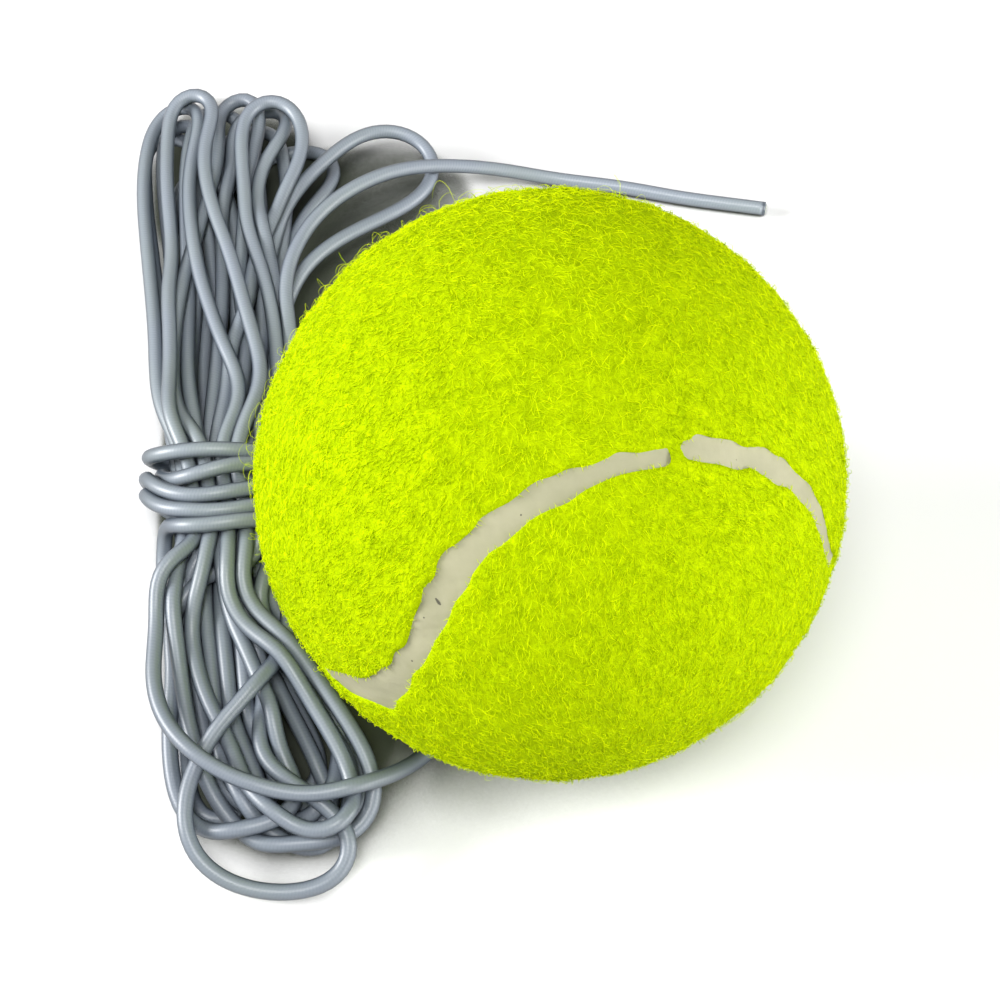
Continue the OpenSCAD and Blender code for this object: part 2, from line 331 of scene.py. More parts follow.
@dataclass(frozen=True)
class SeamRubber(Finish):
    """Natural rubber cement of the seam: chalky, faintly cloudy, with a little dirt.

    spots are the larger marks: X, Y, Z and radius in millimetres.
    """

    clean: str = "#b1ae90"
    cloudy: str = "#a5a385"
    dirt: str = "#45443a"
    cloud_mm: float = 5.0
    speck_gap_mm: float = 2.2
    grain_mm: float = 0.25
    spots: tuple[tuple[float, float, float, float], ...] = ()

    def dress(self, tree: bpy.types.NodeTree, shader: bpy.types.Node,
              place: bpy.types.Node) -> None:
        """Clouds the strip, sprinkles specks on it and gives it a fine grain.

        Args:
            tree: The material's node tree.
            shader: Its Principled shader.
            place: Its texture coordinates.
        """
        clouds = add_node(tree, "ShaderNodeTexNoise", inputs={
            "Vector": place.outputs["Object"], "Scale": 1 / (self.cloud_mm * MM),
            "Detail": 5.0, "Roughness": 0.6})
        specks = add_node(tree, "ShaderNodeTexVoronoi", inputs={
            "Vector": place.outputs["Object"], "Scale": 1 / (self.speck_gap_mm * MM)})
        spot = add_node(tree, "ShaderNodeMapRange", inputs={
            "Value": specks.outputs["Distance"], "From Min": 0.025, "From Max": 0.05,
            "To Min": 0.5, "To Max": 0.0})
        for x, y, z, radius in self.spots:
            away = add_node(tree, "ShaderNodeVectorMath", {"operation": "DISTANCE"}, {
                0: place.outputs["Object"], 1: (x * MM, y * MM, z * MM)})
            mark = add_node(tree, "ShaderNodeMapRange", inputs={
                "Value": away.outputs["Value"], "From Min": 0.5 * radius * MM,
                "From Max": radius * MM, "To Min": 0.9, "To Max": 0.0})
            spot = add_node(tree, "ShaderNodeMath", {"operation": "MAXIMUM"}, {
                0: spot.outputs[0], 1: mark.outputs[0]})
        grain = add_node(tree, "ShaderNodeTexNoise", inputs={
            "Vector": place.outputs["Object"], "Scale": 1 / (self.grain_mm * MM),
            "Detail": 3.0})
        spread = add_node(tree, "ShaderNodeMapRange", inputs={
            "Value": clouds.outputs["Fac"], "From Min": 0.35, "From Max": 0.68})
        base = add_node(tree, "ShaderNodeMix", {"data_type": "RGBA"}, {
            "Factor": spread.outputs["Result"], "A": linear(self.clean),
            "B": linear(self.cloudy)})
        colour = add_node(tree, "ShaderNodeMix", {"data_type": "RGBA"}, {
            "Factor": spot.outputs[0], "A": base.outputs["Result"],
            "B": linear(self.dirt)})
        bump = add_node(tree, "ShaderNodeBump", inputs={
            "Height": grain.outputs["Fac"], "Strength": 0.35, "Distance": 0.06 * MM})
        tree.links.new(colour.outputs["Result"], shader.inputs["Base Color"])
        tree.links.new(bump.outputs["Normal"], shader.inputs["Normal"])
        shader.inputs["Roughness"].default_value = 0.6
        shader.inputs["Specular IOR Level"].default_value = 0.35


@dataclass(frozen=True)
class MouldedRubber(Finish):
    """Moulded core rubber: near black with pale talc left from the mould."""

    rubber: str = "#35383b"
    talc: str = "#6f7274"
    dust_mm: float = 3.0

    def dress(self, tree: bpy.types.NodeTree, shader: bpy.types.Node,
              place: bpy.types.Node) -> None:
        """Dusts the rubber with talc and roughens it.

        Args:
            tree: The material's node tree.
            shader: Its Principled shader.
            place: Its texture coordinates.
        """
        dust = add_node(tree, "ShaderNodeTexNoise", inputs={
            "Vector": place.outputs["Object"], "Scale": 1 / (self.dust_mm * MM),
            "Detail": 8.0, "Roughness": 0.7})
        spread = add_node(tree, "ShaderNodeMapRange", inputs={
            "Value": dust.outputs["Fac"], "From Min": 0.5, "From Max": 0.8, "To Max": 0.6})
        colour = add_node(tree, "ShaderNodeMix", {"data_type": "RGBA"}, {
            "Factor": spread.outputs["Result"], "A": linear(self.rubber),
            "B": linear(self.talc)})
        bump = add_node(tree, "ShaderNodeBump", inputs={
            "Height": dust.outputs["Fac"], "Strength": 0.4, "Distance": 0.1 * MM})
        tree.links.new(colour.outputs["Result"], shader.inputs["Base Color"])
        tree.links.new(bump.outputs["Normal"], shader.inputs["Normal"])
        shader.inputs["Roughness"].default_value = 0.75


@dataclass(frozen=True)
class RubberCement(Finish):
    """Dried rubber cement: amber, uneven and a little shiny."""

    thick: str = "#a88b52"
    thin: str = "#c7b078"
    run_mm: float = 2.0

    def dress(self, tree: bpy.types.NodeTree, shader: bpy.types.Node,
              place: bpy.types.Node) -> None:
        """Varies the cement's thickness.

        Args:
            tree: The material's node tree.
            shader: Its Principled shader.
            place: Its texture coordinates.
        """
        runs = add_node(tree, "ShaderNodeTexNoise", inputs={
            "Vector": place.outputs["Object"], "Scale": 1 / (self.run_mm * MM), "Detail": 3.0})
        colour = add_node(tree, "ShaderNodeMix", {"data_type": "RGBA"}, {
            "Factor": runs.outputs["Fac"], "A": linear(self.thick), "B": linear(self.thin)})
        bump = add_node(tree, "ShaderNodeBump", inputs={
            "Height": runs.outputs["Fac"], "Strength": 0.5, "Distance": 0.2 * MM})
        tree.links.new(colour.outputs["Result"], shader.inputs["Base Color"])
        tree.links.new(bump.outputs["Normal"], shader.inputs["Normal"])
        shader.inputs["Roughness"].default_value = 0.45


@dataclass(frozen=True)
class BraidedYarn(Finish):
    """Polyester sheath braided over rubber: satin yarns crossing in fine slanted ribs.

    Painted shade darkens the yarns in the valleys between the ribs, towards the cord's rim, where
    they are seen edge on, and towards the hank's near end at low Y. With along_uv the mesh's UV
    map holds the turn round the cord and the length along it in millimetres.
    """

    groove_shade: str = "#8b94a0"
    yarn: str = "#959eaa"
    faded: str = "#97a398"
    rim: str = "#353f4b"
    painted_near_shade: str = "#59626d"
    rib_mm: float = 0.42
    carriers: int = 4
    fuzz_mm: float = 0.3
    fade_mm: float = 14.0
    painted_shade_y_mm: tuple[float, float] = (-18.0, 26.0)
    along_uv: bool = True

    def dress(self, tree: bpy.types.NodeTree, shader: bpy.types.Node,
              place: bpy.types.Node) -> None:
        """Weaves two families of yarns that slant against each other.

        Args:
            tree: The material's node tree.
            shader: Its Principled shader.
            place: Its texture coordinates.
        """
        split = add_node(tree, "ShaderNodeSeparateXYZ", inputs={
            "Vector": place.outputs["UV" if self.along_uv else "Object"]})
        turns, run = split.outputs["X"], split.outputs["Y"]
        rib = self.rib_mm if self.along_uv else self.rib_mm * MM
        heights = []
        for hand in (1, -1):
            slant = add_node(tree, "ShaderNodeMath", {"operation": "MULTIPLY"}, {
                0: turns, 1: 2 * math.pi * hand * self.carriers / 2})
            phase = add_node(tree, "ShaderNodeMath", {"operation": "MULTIPLY_ADD"}, {
                0: run, 1: math.pi / rib, 2: slant.outputs[0]})
            wave = add_node(tree, "ShaderNodeMath", {"operation": "SINE"}, {0: phase.outputs[0]})
            heights.append(add_node(tree, "ShaderNodeMath", {"operation": "ABSOLUTE"}, {
                0: wave.outputs[0]}))
        lesser = add_node(tree, "ShaderNodeMath", {"operation": "MULTIPLY"}, {
            0: heights[1].outputs[0], 1: 0.3})
        over = add_node(tree, "ShaderNodeMath", {"operation": "MULTIPLY_ADD"}, {
            0: heights[0].outputs[0], 1: 0.7, 2: lesser.outputs[0]})
        fuzz = add_node(tree, "ShaderNodeTexNoise", inputs={
            "Vector": place.outputs["Object"], "Scale": 1 / (self.fuzz_mm * MM),
            "Detail": 4.0})
        tint = add_node(tree, "ShaderNodeTexNoise", inputs={
            "Vector": place.outputs["Object"], "Scale": 1 / (self.fade_mm * MM),
            "Detail": 2.0})
        weave_height = add_node(tree, "ShaderNodeMath", {"operation": "MULTIPLY_ADD"}, {
            0: fuzz.outputs["Fac"], 1: 0.35, 2: over.outputs[0]})
        reach = add_node(tree, "ShaderNodeMapRange", inputs={
            "Value": weave_height.outputs[0], "From Min": 0.25, "From Max": 1.05})
        # Painted shade: where the weave's height is low, between the ribs, the yarn is darker.
        base = add_node(tree, "ShaderNodeMix", {"data_type": "RGBA"}, {
            "Factor": reach.outputs["Result"], "A": linear(self.groove_shade), "B": linear(self.yarn)})
        fading = add_node(tree, "ShaderNodeMapRange", inputs={
            "Value": tint.outputs["Fac"], "From Min": 0.4, "From Max": 0.7, "To Max": 0.35})
        colour = add_node(tree, "ShaderNodeMix", {"data_type": "RGBA"}, {
            "Factor": fading.outputs["Result"], "A": base.outputs["Result"],
            "B": linear(self.faded)})
        along = add_node(tree, "ShaderNodeSeparateXYZ", inputs={
            "Vector": place.outputs["Object"]})
        # Painted shade: the sheath darkens towards low Y, the hank's near end.
        near_end_shade = add_node(tree, "ShaderNodeMapRange", {"interpolation_type": "SMOOTHSTEP"}, {
            "Value": along.outputs["Y"], "From Min": self.painted_shade_y_mm[0] * MM,
            "From Max": self.painted_shade_y_mm[1] * MM, "To Min": 0.5, "To Max": 0.0})
        colour = add_node(tree, "ShaderNodeMix", {"data_type": "RGBA"}, {
            "Factor": near_end_shade.outputs["Result"], "A": colour.outputs["Result"],
            "B": linear(self.painted_near_shade)})
        # Painted shade: the colour darkens towards the cord's rim, where its surface turns edge on.
        slope = add_node(tree, "ShaderNodeLayerWeight", inputs={"Blend": 0.4})
        side = add_node(tree, "ShaderNodeMapRange", {"interpolation_type": "SMOOTHSTEP"}, {
            "Value": slope.outputs["Facing"], "From Min": 0.1, "From Max": 0.75,
            "To Max": 0.85})
        colour = add_node(tree, "ShaderNodeMix", {"data_type": "RGBA"}, {
            "Factor": side.outputs["Result"], "A": colour.outputs["Result"],
            "B": linear(self.rim)})
        bump = add_node(tree, "ShaderNodeBump", inputs={
            "Height": weave_height.outputs[0], "Strength": 0.12, "Distance": 0.05 * MM})
        tree.links.new(colour.outputs["Result"], shader.inputs["Base Color"])
        tree.links.new(bump.outputs["Normal"], shader.inputs["Normal"])
        shader.inputs["Roughness"].default_value = 0.4
        shader.inputs["Specular IOR Level"].default_value = 0.75


@dataclass(frozen=True)
class CutRubber(Finish):
    """Freshly cut rubber threads: pale, matt, with dark gaps between the threads."""

    thread: str = "#dde0d6"
    gap: str = "#9ba19c"
    thread_mm: float = 0.3

    def dress(self, tree: bpy.types.NodeTree, shader: bpy.types.Node,
              place: bpy.types.Node) -> None:
        """Divides the rubber into threads.

        Args:
            tree: The material's node tree.
            shader: Its Principled shader.
            place: Its texture coordinates.
        """
        cells = add_node(tree, "ShaderNodeTexVoronoi", {"feature": "DISTANCE_TO_EDGE"}, {
            "Vector": place.outputs["Object"], "Scale": 1 / (self.thread_mm * MM)})
        edge = add_node(tree, "ShaderNodeMapRange", inputs={
            "Value": cells.outputs["Distance"], "From Min": 0.02, "From Max": 0.16})
        colour = add_node(tree, "ShaderNodeMix", {"data_type": "RGBA"}, {
            "Factor": edge.outputs["Result"], "A": linear(self.gap), "B": linear(self.thread)})
        bump = add_node(tree, "ShaderNodeBump", inputs={
            "Height": edge.outputs["Result"], "Strength": 0.5, "Distance": 0.05 * MM})
        tree.links.new(colour.outputs["Result"], shader.inputs["Base Color"])
        tree.links.new(bump.outputs["Normal"], shader.inputs["Normal"])
        shader.inputs["Roughness"].default_value = 0.8


# Camera, light and floor

@dataclass(frozen=True)
class Viewpoint:
    """The photograph's camera, which also places what is read off the picture.

    place and sensor are in millimetres, tilt in degrees, and the picture is square.
    """

    place: tuple[float, float, float] = (-5.582, -110.69, 221.28)
    tilt: float = 30.0
    focal_px: float = 1935.0
    middle_px: float = 500.0
    sensor: float = 36.0

    def ray(self, px: float, py: float) -> np.ndarray:
        """Direction of the sight line through a picture point.

        Args:
            px: Picture column.
            py: Picture row.

        Returns:
            A vector in pixels, away from the camera.
        """
        a = math.radians(self.tilt)
        ahead = np.array([0, math.sin(a), -math.cos(a)])
        up = np.array([0, math.cos(a), math.sin(a)])
        side = np.array([1.0, 0, 0])
        return (ahead * self.focal_px + side * (px - self.middle_px)
                + up * (self.middle_px - py))

    def at_height(self, px: float, py: float, z: float) -> np.ndarray:
        """Point of the sight line at a height over the table.

        Args:
            px: Picture column.
            py: Picture row.
            z: Height in millimetres.

        Returns:
            The point in millimetres.
        """
        way = self.ray(px, py)
        eye = np.array(self.place)
        return eye + way * ((z - eye[2]) / way[2])

    def on_ball(self, px: float, py: float, centre: np.ndarray, radius: float) -> np.ndarray:
        """Direction from the ball's centre to where a sight line meets the ball.

        Args:
            px: Picture column.
            py: Picture row.
            centre: Ball centre in millimetres.
            radius: Radius of the sphere that is met.

        Returns:
            A unit vector; a sight line that passes the ball meets its edge.
        """
        way = unit(self.ray(px, py))
        eye = np.array(self.place) - centre
        middle = -(eye @ way)
        near = middle - math.sqrt(max(0.0, radius ** 2 - (eye @ eye - middle ** 2)))
        return unit(eye + way * near)

    def add_camera(self) -> None:
        """Makes the scene's camera."""
        lens = bpy.data.cameras.new("photo_camera")
        lens.sensor_width = self.sensor
        lens.lens = self.focal_px / (2 * self.middle_px) * self.sensor
        lens.clip_start = 0.01
        camera = bpy.data.objects.new("photo_camera", lens)
        camera.location = [v * MM for v in self.place]
        camera.rotation_euler = (math.radians(self.tilt), 0, 0)
        bpy.context.scene.collection.objects.link(camera)
        bpy.context.scene.camera = camera


class Lamp(Enum):
    """The studio's soft boxes: place and aim in metres, size in metres, power in watts."""

    OVERHEAD = ((-0.05, -0.22, 0.67), (-0.01, 0.02, 0.02), 0.28, 2.6)
    LEFT = ((-0.73, 0.02, 0.29), (0, 0, 0.03), 0.36, 7.4)
    RIGHT = ((0.75, -0.08, 0.25), (0, 0, 0.03), 0.5, 4.0)
    FRONT = ((0.54, -0.56, 0.22), (0, 0, 0.03), 0.5, 2.9)


@dataclass
class Studio:
    """Plain pale floor and soft light round the object.

    The floor's colour carries painted shade where something stands within contact_m of it, most of
    all in shaded_mm: patches under the hank and beside the ball, as middle X and Y and half their
    width and depth.
    Between the two distances of fade_m it turns into a plain backdrop. sky is the world's
    strength on the object, and drop_m keeps the floor just under what lies on it.
    """

    view: Viewpoint
    floor_m: float = 6.0
    drop_m: float = 0.0001
    contact_m: float = 0.022
    shaded_mm: tuple[tuple[float, float, float, float], ...] = (
        (-45.5, 72, 10.5, 17), (-41, 40, 10.5, 48), (-31, -4, 14, 22), (-24, 60, 16.5, 19))
    fade_m: tuple[float, float] = (0.11, 0.18)
    sky: float = 0.17
    shadow: str = "#50544a"
    bounce: str = "#8c8c8c"

    def build(self) -> None:
        """Adds the camera, the lamps, the world and the floor."""
        scene = bpy.context.scene
        scene.view_settings.view_transform = "Standard"
        self.view.add_camera()
        for lamp in Lamp:
            place, aim, size, power = lamp.value
            data = bpy.data.lights.new(lamp.name.lower() + "_softbox", "AREA")
            data.shape, data.size, data.energy = "DISK", size, power
            obj = bpy.data.objects.new(data.name, data)
            obj.location = place
            way = Vector(aim) - Vector(place)
            obj.rotation_euler = way.to_track_quat("-Z", "Y").to_euler()
            scene.collection.objects.link(obj)
        self.light_world(scene)
        self.lay_floor()

    def light_world(self, scene: bpy.types.Scene) -> None:
        """Lights the scene evenly and shows white behind it.

        Args:
            scene: Scene that gets the world.
        """
        world = bpy.data.worlds.new("white_studio")
        scene.world = world
        world.use_nodes = True
        tree = world.node_tree
        tree.nodes.clear()
        seen = self.seen_directly(tree)
        strength = add_node(tree, "ShaderNodeMapRange", inputs={
            "Value": seen, "To Min": self.sky, "To Max": 1.0})
        sky = add_node(tree, "ShaderNodeBackground", inputs={
            "Color": (1, 1, 1, 1), "Strength": strength.outputs["Result"]})
        add_node(tree, "ShaderNodeOutputWorld", inputs={"Surface": sky.outputs[0]})

    @staticmethod
    def seen_directly(tree: bpy.types.NodeTree) -> bpy.types.NodeSocket:
        """One for camera, glossy and transmission rays, and zero for the rest.

        Args:
            tree: Node tree of the world or of a material.

        Returns:
            The socket that holds it.
        """
        path = add_node(tree, "ShaderNodeLightPath")
        first = add_node(tree, "ShaderNodeMath", {"operation": "MAXIMUM"}, {
            0: path.outputs["Is Camera Ray"], 1: path.outputs["Is Glossy Ray"]})
        both = add_node(tree, "ShaderNodeMath", {"operation": "MAXIMUM"}, {
            0: first.outputs[0], 1: path.outputs["Is Transmission Ray"]})
        return both.outputs[0]

    def shaded(self, tree: bpy.types.NodeTree, place: bpy.types.Node) -> bpy.types.NodeSocket:
        """One inside the shaded patches, which have rounded corners, and zero outside them.

        Args:
            tree: The floor's node tree.
            place: Its texture coordinates.

        Returns:
            The socket that holds it.
        """
        reach = []
        for x, y, half_x, half_y in self.shaded_mm:
            off = add_node(tree, "ShaderNodeVectorMath", {"operation": "SUBTRACT"}, {
                0: place.outputs["Object"], 1: (x * MM, y * MM, 0)})
            size = add_node(tree, "ShaderNodeVectorMath", {"operation": "DIVIDE"}, {
                0: off.outputs[0], 1: (half_x * MM, half_y * MM, 1)})
            split = add_node(tree, "ShaderNodeSeparateXYZ", inputs={0: size.outputs[0]})
            powers = []
            for axis in "XY":
                square = add_node(tree, "ShaderNodeMath", {"operation": "MULTIPLY"}, {
                    0: split.outputs[axis], 1: split.outputs[axis]})
                powers.append(add_node(tree, "ShaderNodeMath", {"operation": "POWER"}, {
                    0: square.outputs[0], 1: 1.5}))
            reach.append(add_node(tree, "ShaderNodeMath", {"operation": "ADD"}, {
                0: powers[0].outputs[0], 1: powers[1].outputs[0]}))
        least = reach[0]
        for other in reach[1:]:
            least = add_node(tree, "ShaderNodeMath", {"operation": "MINIMUM"}, {
                0: least.outputs[0], 1: other.outputs[0]})
        patch = add_node(tree, "ShaderNodeMapRange", {"interpolation_type": "SMOOTHSTEP"}, {
            "Value": least.outputs[0], "From Min": 0.55, "From Max": 1.05, "To Min": 1.0,
            "To Max": 0.0})
        return patch.outputs["Result"]

    def floor_tone(self, tree: bpy.types.NodeTree, place: bpy.types.Node
                   ) -> bpy.types.NodeSocket:
        """Colour of the floor as it is seen: white, with painted shade where things stand close to
        it.

        Args:
            tree: The floor's node tree.
            place: Its texture coordinates.

        Returns:
            The socket that holds it.
        """
        patch = self.shaded(tree, place)
        near = add_node(tree, "ShaderNodeAmbientOcclusion", {"samples": 12}, {
            "Distance": self.contact_m})
        dark = add_node(tree, "ShaderNodeMath", {"operation": "MULTIPLY_ADD"}, {
            0: patch, 1: 0.45, 2: 0.2})
        clear = add_node(tree, "ShaderNodeMath", {"operation": "MULTIPLY_ADD"}, {
            0: patch, 1: 0.46, 2: 0.6})
        openness = add_node(tree, "ShaderNodeMapRange", {"interpolation_type": "SMOOTHSTEP"}, {
            "Value": near.outputs["AO"], "From Min": dark.outputs[0],
            "From Max": clear.outputs[0]})
        # Painted shade: occlusion mixes the shadow colour into the floor, most within the shaded
        # patches.
        tone = add_node(tree, "ShaderNodeMix", {"data_type": "RGBA"}, {
            "Factor": openness.outputs["Result"], "A": linear(self.shadow), "B": (1, 1, 1, 1)})
        return tone.outputs["Result"]

    def lay_floor(self) -> None:
        """Lays a matt white floor, which sends less light back to the object than it shows."""
        paint = bpy.data.materials.new("matt_white_floor")
        paint.use_nodes = True
        tree = paint.node_tree
        tree.nodes.clear()
        place = add_node(tree, "ShaderNodeTexCoord")
        near = add_node(tree, "ShaderNodeBsdfDiffuse", inputs={
            "Color": self.floor_tone(tree, place)})
        backdrop = add_node(tree, "ShaderNodeEmission", inputs={"Color": (1, 1, 1, 1)})
        away = add_node(tree, "ShaderNodeVectorMath", {"operation": "LENGTH"}, {
            0: place.outputs["Object"]})
        fade = add_node(tree, "ShaderNodeMapRange", {"interpolation_type": "SMOOTHSTEP"}, {
            "Value": away.outputs["Value"], "From Min": self.fade_m[0],
            "From Max": self.fade_m[1]})
        shown = add_node(tree, "ShaderNodeMixShader", inputs={
            0: fade.outputs["Result"], 1: near.outputs[0], 2: backdrop.outputs[0]})
        dim = add_node(tree, "ShaderNodeBsdfDiffuse", inputs={"Color": linear(self.bounce)})
        both = add_node(tree, "ShaderNodeMixShader", inputs={
            0: self.seen_directly(tree), 1: dim.outputs[0], 2: shown.outputs[0]})
        add_node(tree, "ShaderNodeOutputMaterial", inputs={"Surface": both.outputs[0]})
        bpy.ops.mesh.primitive_plane_add(size=self.floor_m, location=(0, 0, -self.drop_m))
        floor = bpy.context.object
        floor.name = "studio_floor"
        bpy.ops.object.transform_apply(location=True, rotation=False, scale=False)
        floor.data.materials.append(paint)


# Ball

# Edges of the seam as the photograph shows them, in its pixels, from the left to the right.
# The two edges close up where felt bridges the strip.
SEAM_UPPER_PX = [
    (329, 664), (334, 668), (343, 671), (355, 674), (366, 677), (377, 673), (382, 668),
    (393, 663), (397, 652), (407, 645), (412, 632), (416, 617), (423, 601), (426, 588),
    (436, 577), (440, 561), (447, 551), (458, 544), (475, 529), (482, 519), (495, 511),
    (513, 501), (526, 490), (538, 482), (551, 478), (569, 470), (589, 467), (608, 459),
    (617, 454), (639, 454), (656, 451), (666, 451), (669.5, 453), (671, 458.5), (676, 458),
    (680, 456.5), (680.8, 449), (683, 442.5), (689, 441), (695, 436), (710, 439), (730, 442),
    (741, 448), (763, 449), (772, 456), (782, 460), (793, 474), (808, 487), (813, 498),
    (820, 512), (824, 533), (828, 550), (830, 562)]
SEAM_LOWER_PX = [
    (332, 674), (340, 680), (351, 689), (366, 696), (381, 702), (394, 707), (398, 698),
    (410, 686), (413, 673), (423, 663), (430, 650), (436, 638), (447, 621), (455, 601),
    (467, 586), (473, 572), (482, 560), (490, 551), (501, 544), (520, 528), (530, 519),
    (546, 510), (568, 501), (583, 490), (599, 482), (616, 475), (632, 471), (656, 467),
    (665, 465.5), (669.5, 464), (671.2, 459.3), (676, 458.6), (680.5, 457.6), (685, 458),
    (699, 461), (719, 464), (737, 469), (748, 467), (761, 474), (775, 484), (786, 487),
    (796, 498), (808, 512), (815, 530), (820, 547), (823, 560), (824, 568)]
# Dirt on the strip: picture column, picture row and radius in millimetres.
SEAM_SPOTS_PX = ((436, 599, 0.15), (437, 600.2, 0.2), (438, 601.6, 0.24), (439, 603, 0.24),
                 (440, 604.2, 0.16), (424, 617.5, 0.13), (412, 661, 0.14), (521, 515, 0.12))
# Felt that closes over the strip's break, from its left to its right end.
BRIDGE_PX = ((674, 458.2), (681, 457))
# A faint crease in the felt above the break of the strip, from its upper to its lower end.
CREASE_PX = ((683, 396), (675, 443))


@dataclass
class BallShape:
    """Sizes of the ball that its panels and its seam share.

    The hole lies hole_drop degrees under the ball's waist, towards hole_azimuth.
    """

    radius: float = 33.0
    felt_edge_radius: float = 32.2
    seam_radius: float = 32.42
    lobe_angle: float = 45.0
    seam_width: float = 3.0
    seam_turn: tuple[float, float, float] = (-6.0, -29.0, -119.0)
    hole_azimuth: float = 233.0
    hole_drop: float = 60.0
    hole_radius: float = 1.3

    @property
    def centre(self) -> np.ndarray:
        """Middle of the ball in millimetres."""
        return np.array([0, 0, self.radius])

    @property
    def hole_way(self) -> np.ndarray:
        """Direction of the tether's hole from the ball's middle.

        Returns:
            A unit vector.
        """
        az, drop = math.radians(self.hole_azimuth), math.radians(self.hole_drop)
        return np.array([math.cos(az) * math.cos(drop), math.sin(az) * math.cos(drop),
                         -math.sin(drop)])

    def turn(self) -> np.ndarray:
        """Rotation matrix of the seam pattern: about X, then Y, then Z.

        Returns:
            Three rows of three.
        """
        matrix = np.eye(3)
        for axis, degrees in enumerate(self.seam_turn):
            a = math.radians(degrees)
            step = np.eye(3)
            i, j = (axis + 1) % 3, (axis + 2) % 3
            step[i, i] = step[j, j] = math.cos(a)
            step[i, j], step[j, i] = -math.sin(a), math.sin(a)
            matrix = step @ matrix
        return matrix

    def pattern(self, count: int = 240) -> np.ndarray:
        """Middle line of the seam as four half-circles, which close on themselves.

        Args:
            count: Points on each half-circle.

        Returns:
            Unit vectors in order round the ball.
        """
        lobe = math.radians(self.lobe_angle)
        arcs = []
        for i in range(4):
            az = math.radians(90 * i - 45)
            middle = np.array([math.cos(az), math.sin(az), 0])
            across = np.array([-math.sin(az), math.cos(az), 0])
            side = -1 if i % 2 == 0 else 1
            t = np.linspace(math.pi, 0, count, endpoint=False)[:, None]
            arcs.append(math.cos(lobe) * middle + math.sin(lobe)
                        * (np.cos(t) * across + side * np.sin(t) * np.array([0, 0, 1.0])))
        return np.vstack(arcs) @ self.turn().T


class SeamEdge:
    """A closed line on the ball that bounds one felt panel."""

    at_once: int = 8000

    def __init__(self, line: np.ndarray, inside: np.ndarray, radius: float) -> None:
        """Keeps the line and the way into its panel.

        Args:
            line: Unit vectors in order round the ball.
            inside: A unit vector well inside the panel.
            radius: Radius at which distances are measured, in millimetres.
        """
        self.radius = radius
        self.line = line
        along = unit(np.roll(line, -1, axis=0) - np.roll(line, 1, axis=0))
        self.inward = unit(np.cross(line, along))
        if self.distance(inside[None])[0] < 0:
            self.inward = -self.inward

    def distance(self, ways: np.ndarray, inset: float = 0.1) -> np.ndarray:
        """Distance from the line in millimetres, positive inside the panel.

        Args:
            ways: Unit vectors from the ball's middle.
            inset: How far inside the line the panel's edge lies, in millimetres.

        Returns:
            Signed distances.
        """
        result = np.empty(len(ways))
        for start in range(0, len(ways), self.at_once):
            part = ways[start:start + self.at_once]
            nearest = np.argmax(part @ self.line.T, axis=1)
            gap = part - self.line[nearest]
            along = np.cross(self.line[nearest], self.inward[nearest])
            inward = (gap * self.inward[nearest]).sum(1)
            # What lies along the line hardly counts, as it is only the gap to the next point.
            length = np.linalg.norm(gap - (gap * along).sum(1)[:, None] * along * 0.98, axis=1)
            result[start:start + self.at_once] = np.sign(inward) * length * self.radius - inset
        return result

    def outward(self, ways: np.ndarray) -> np.ndarray:
        """Directions along the surface that lead out of the panel over its nearest edge."""
        return -self.inward[np.argmax(ways @ self.line.T, axis=1)]


class SeamLines:
    """Both edges of the seam: the photographed part, and the regular pattern where it is hidden."""

    def __init__(self, shape: BallShape, view: Viewpoint) -> None:
        """Finds the two closed edges.

        Args:
            shape: Sizes of the ball.
            view: Camera that places the photographed part.
        """
        self.shape = shape
        middle = shape.pattern()
        up = shape.turn() @ np.array([0, 0, 1.0])
        base = SeamEdge(middle, up, shape.radius)
        seen = [np.array([view.on_ball(px, py, shape.centre, shape.felt_edge_radius)
                          for px, py in edge]) for edge in (SEAM_UPPER_PX, SEAM_LOWER_PX)]
        if base.distance(seen[0]).mean() < base.distance(seen[1]).mean():
            seen.reverse()
        half = math.asin(shape.seam_width / 2 / shape.radius)
        self.edges = []
        for side, shown, inside in ((1, seen[0], up), (-1, seen[1], -up)):
            offset = unit(middle * math.cos(half) + side * base.inward * math.sin(half))
            self.edges.append(SeamEdge(self.splice(offset, shown), inside, shape.radius))

    def splice(self, line: np.ndarray, shown: np.ndarray, blend: int = 26,
               every: int = 12, step: float = 0.15) -> np.ndarray:
        """Puts the photographed stretch into the regular line.

        Args:
            line: Closed regular edge.
            shown: The photographed stretch of it.
            blend: Regular points left out at each join, so that it runs smoothly.
            every: One in this many of the regular points guides the curve.
            step: Distance between the points returned, in millimetres.

        Returns:
            The closed edge in even, fine steps.
        """
        first = int(np.argmax(line @ shown[0]))
        last = int(np.argmax(line @ shown[-1]))
        count = len(line)
        if (last - first) % count > count / 2:
            shown = shown[::-1]
            first, last = last, first
        stop = first - blend + (count if first < last else 0)
        hidden = [line[k % count] for k in range(last + blend, stop, every)]
        points = np.vstack([shown, hidden, shown[:1]])
        return unit(smooth_line(points * self.shape.radius, step)[:-1])


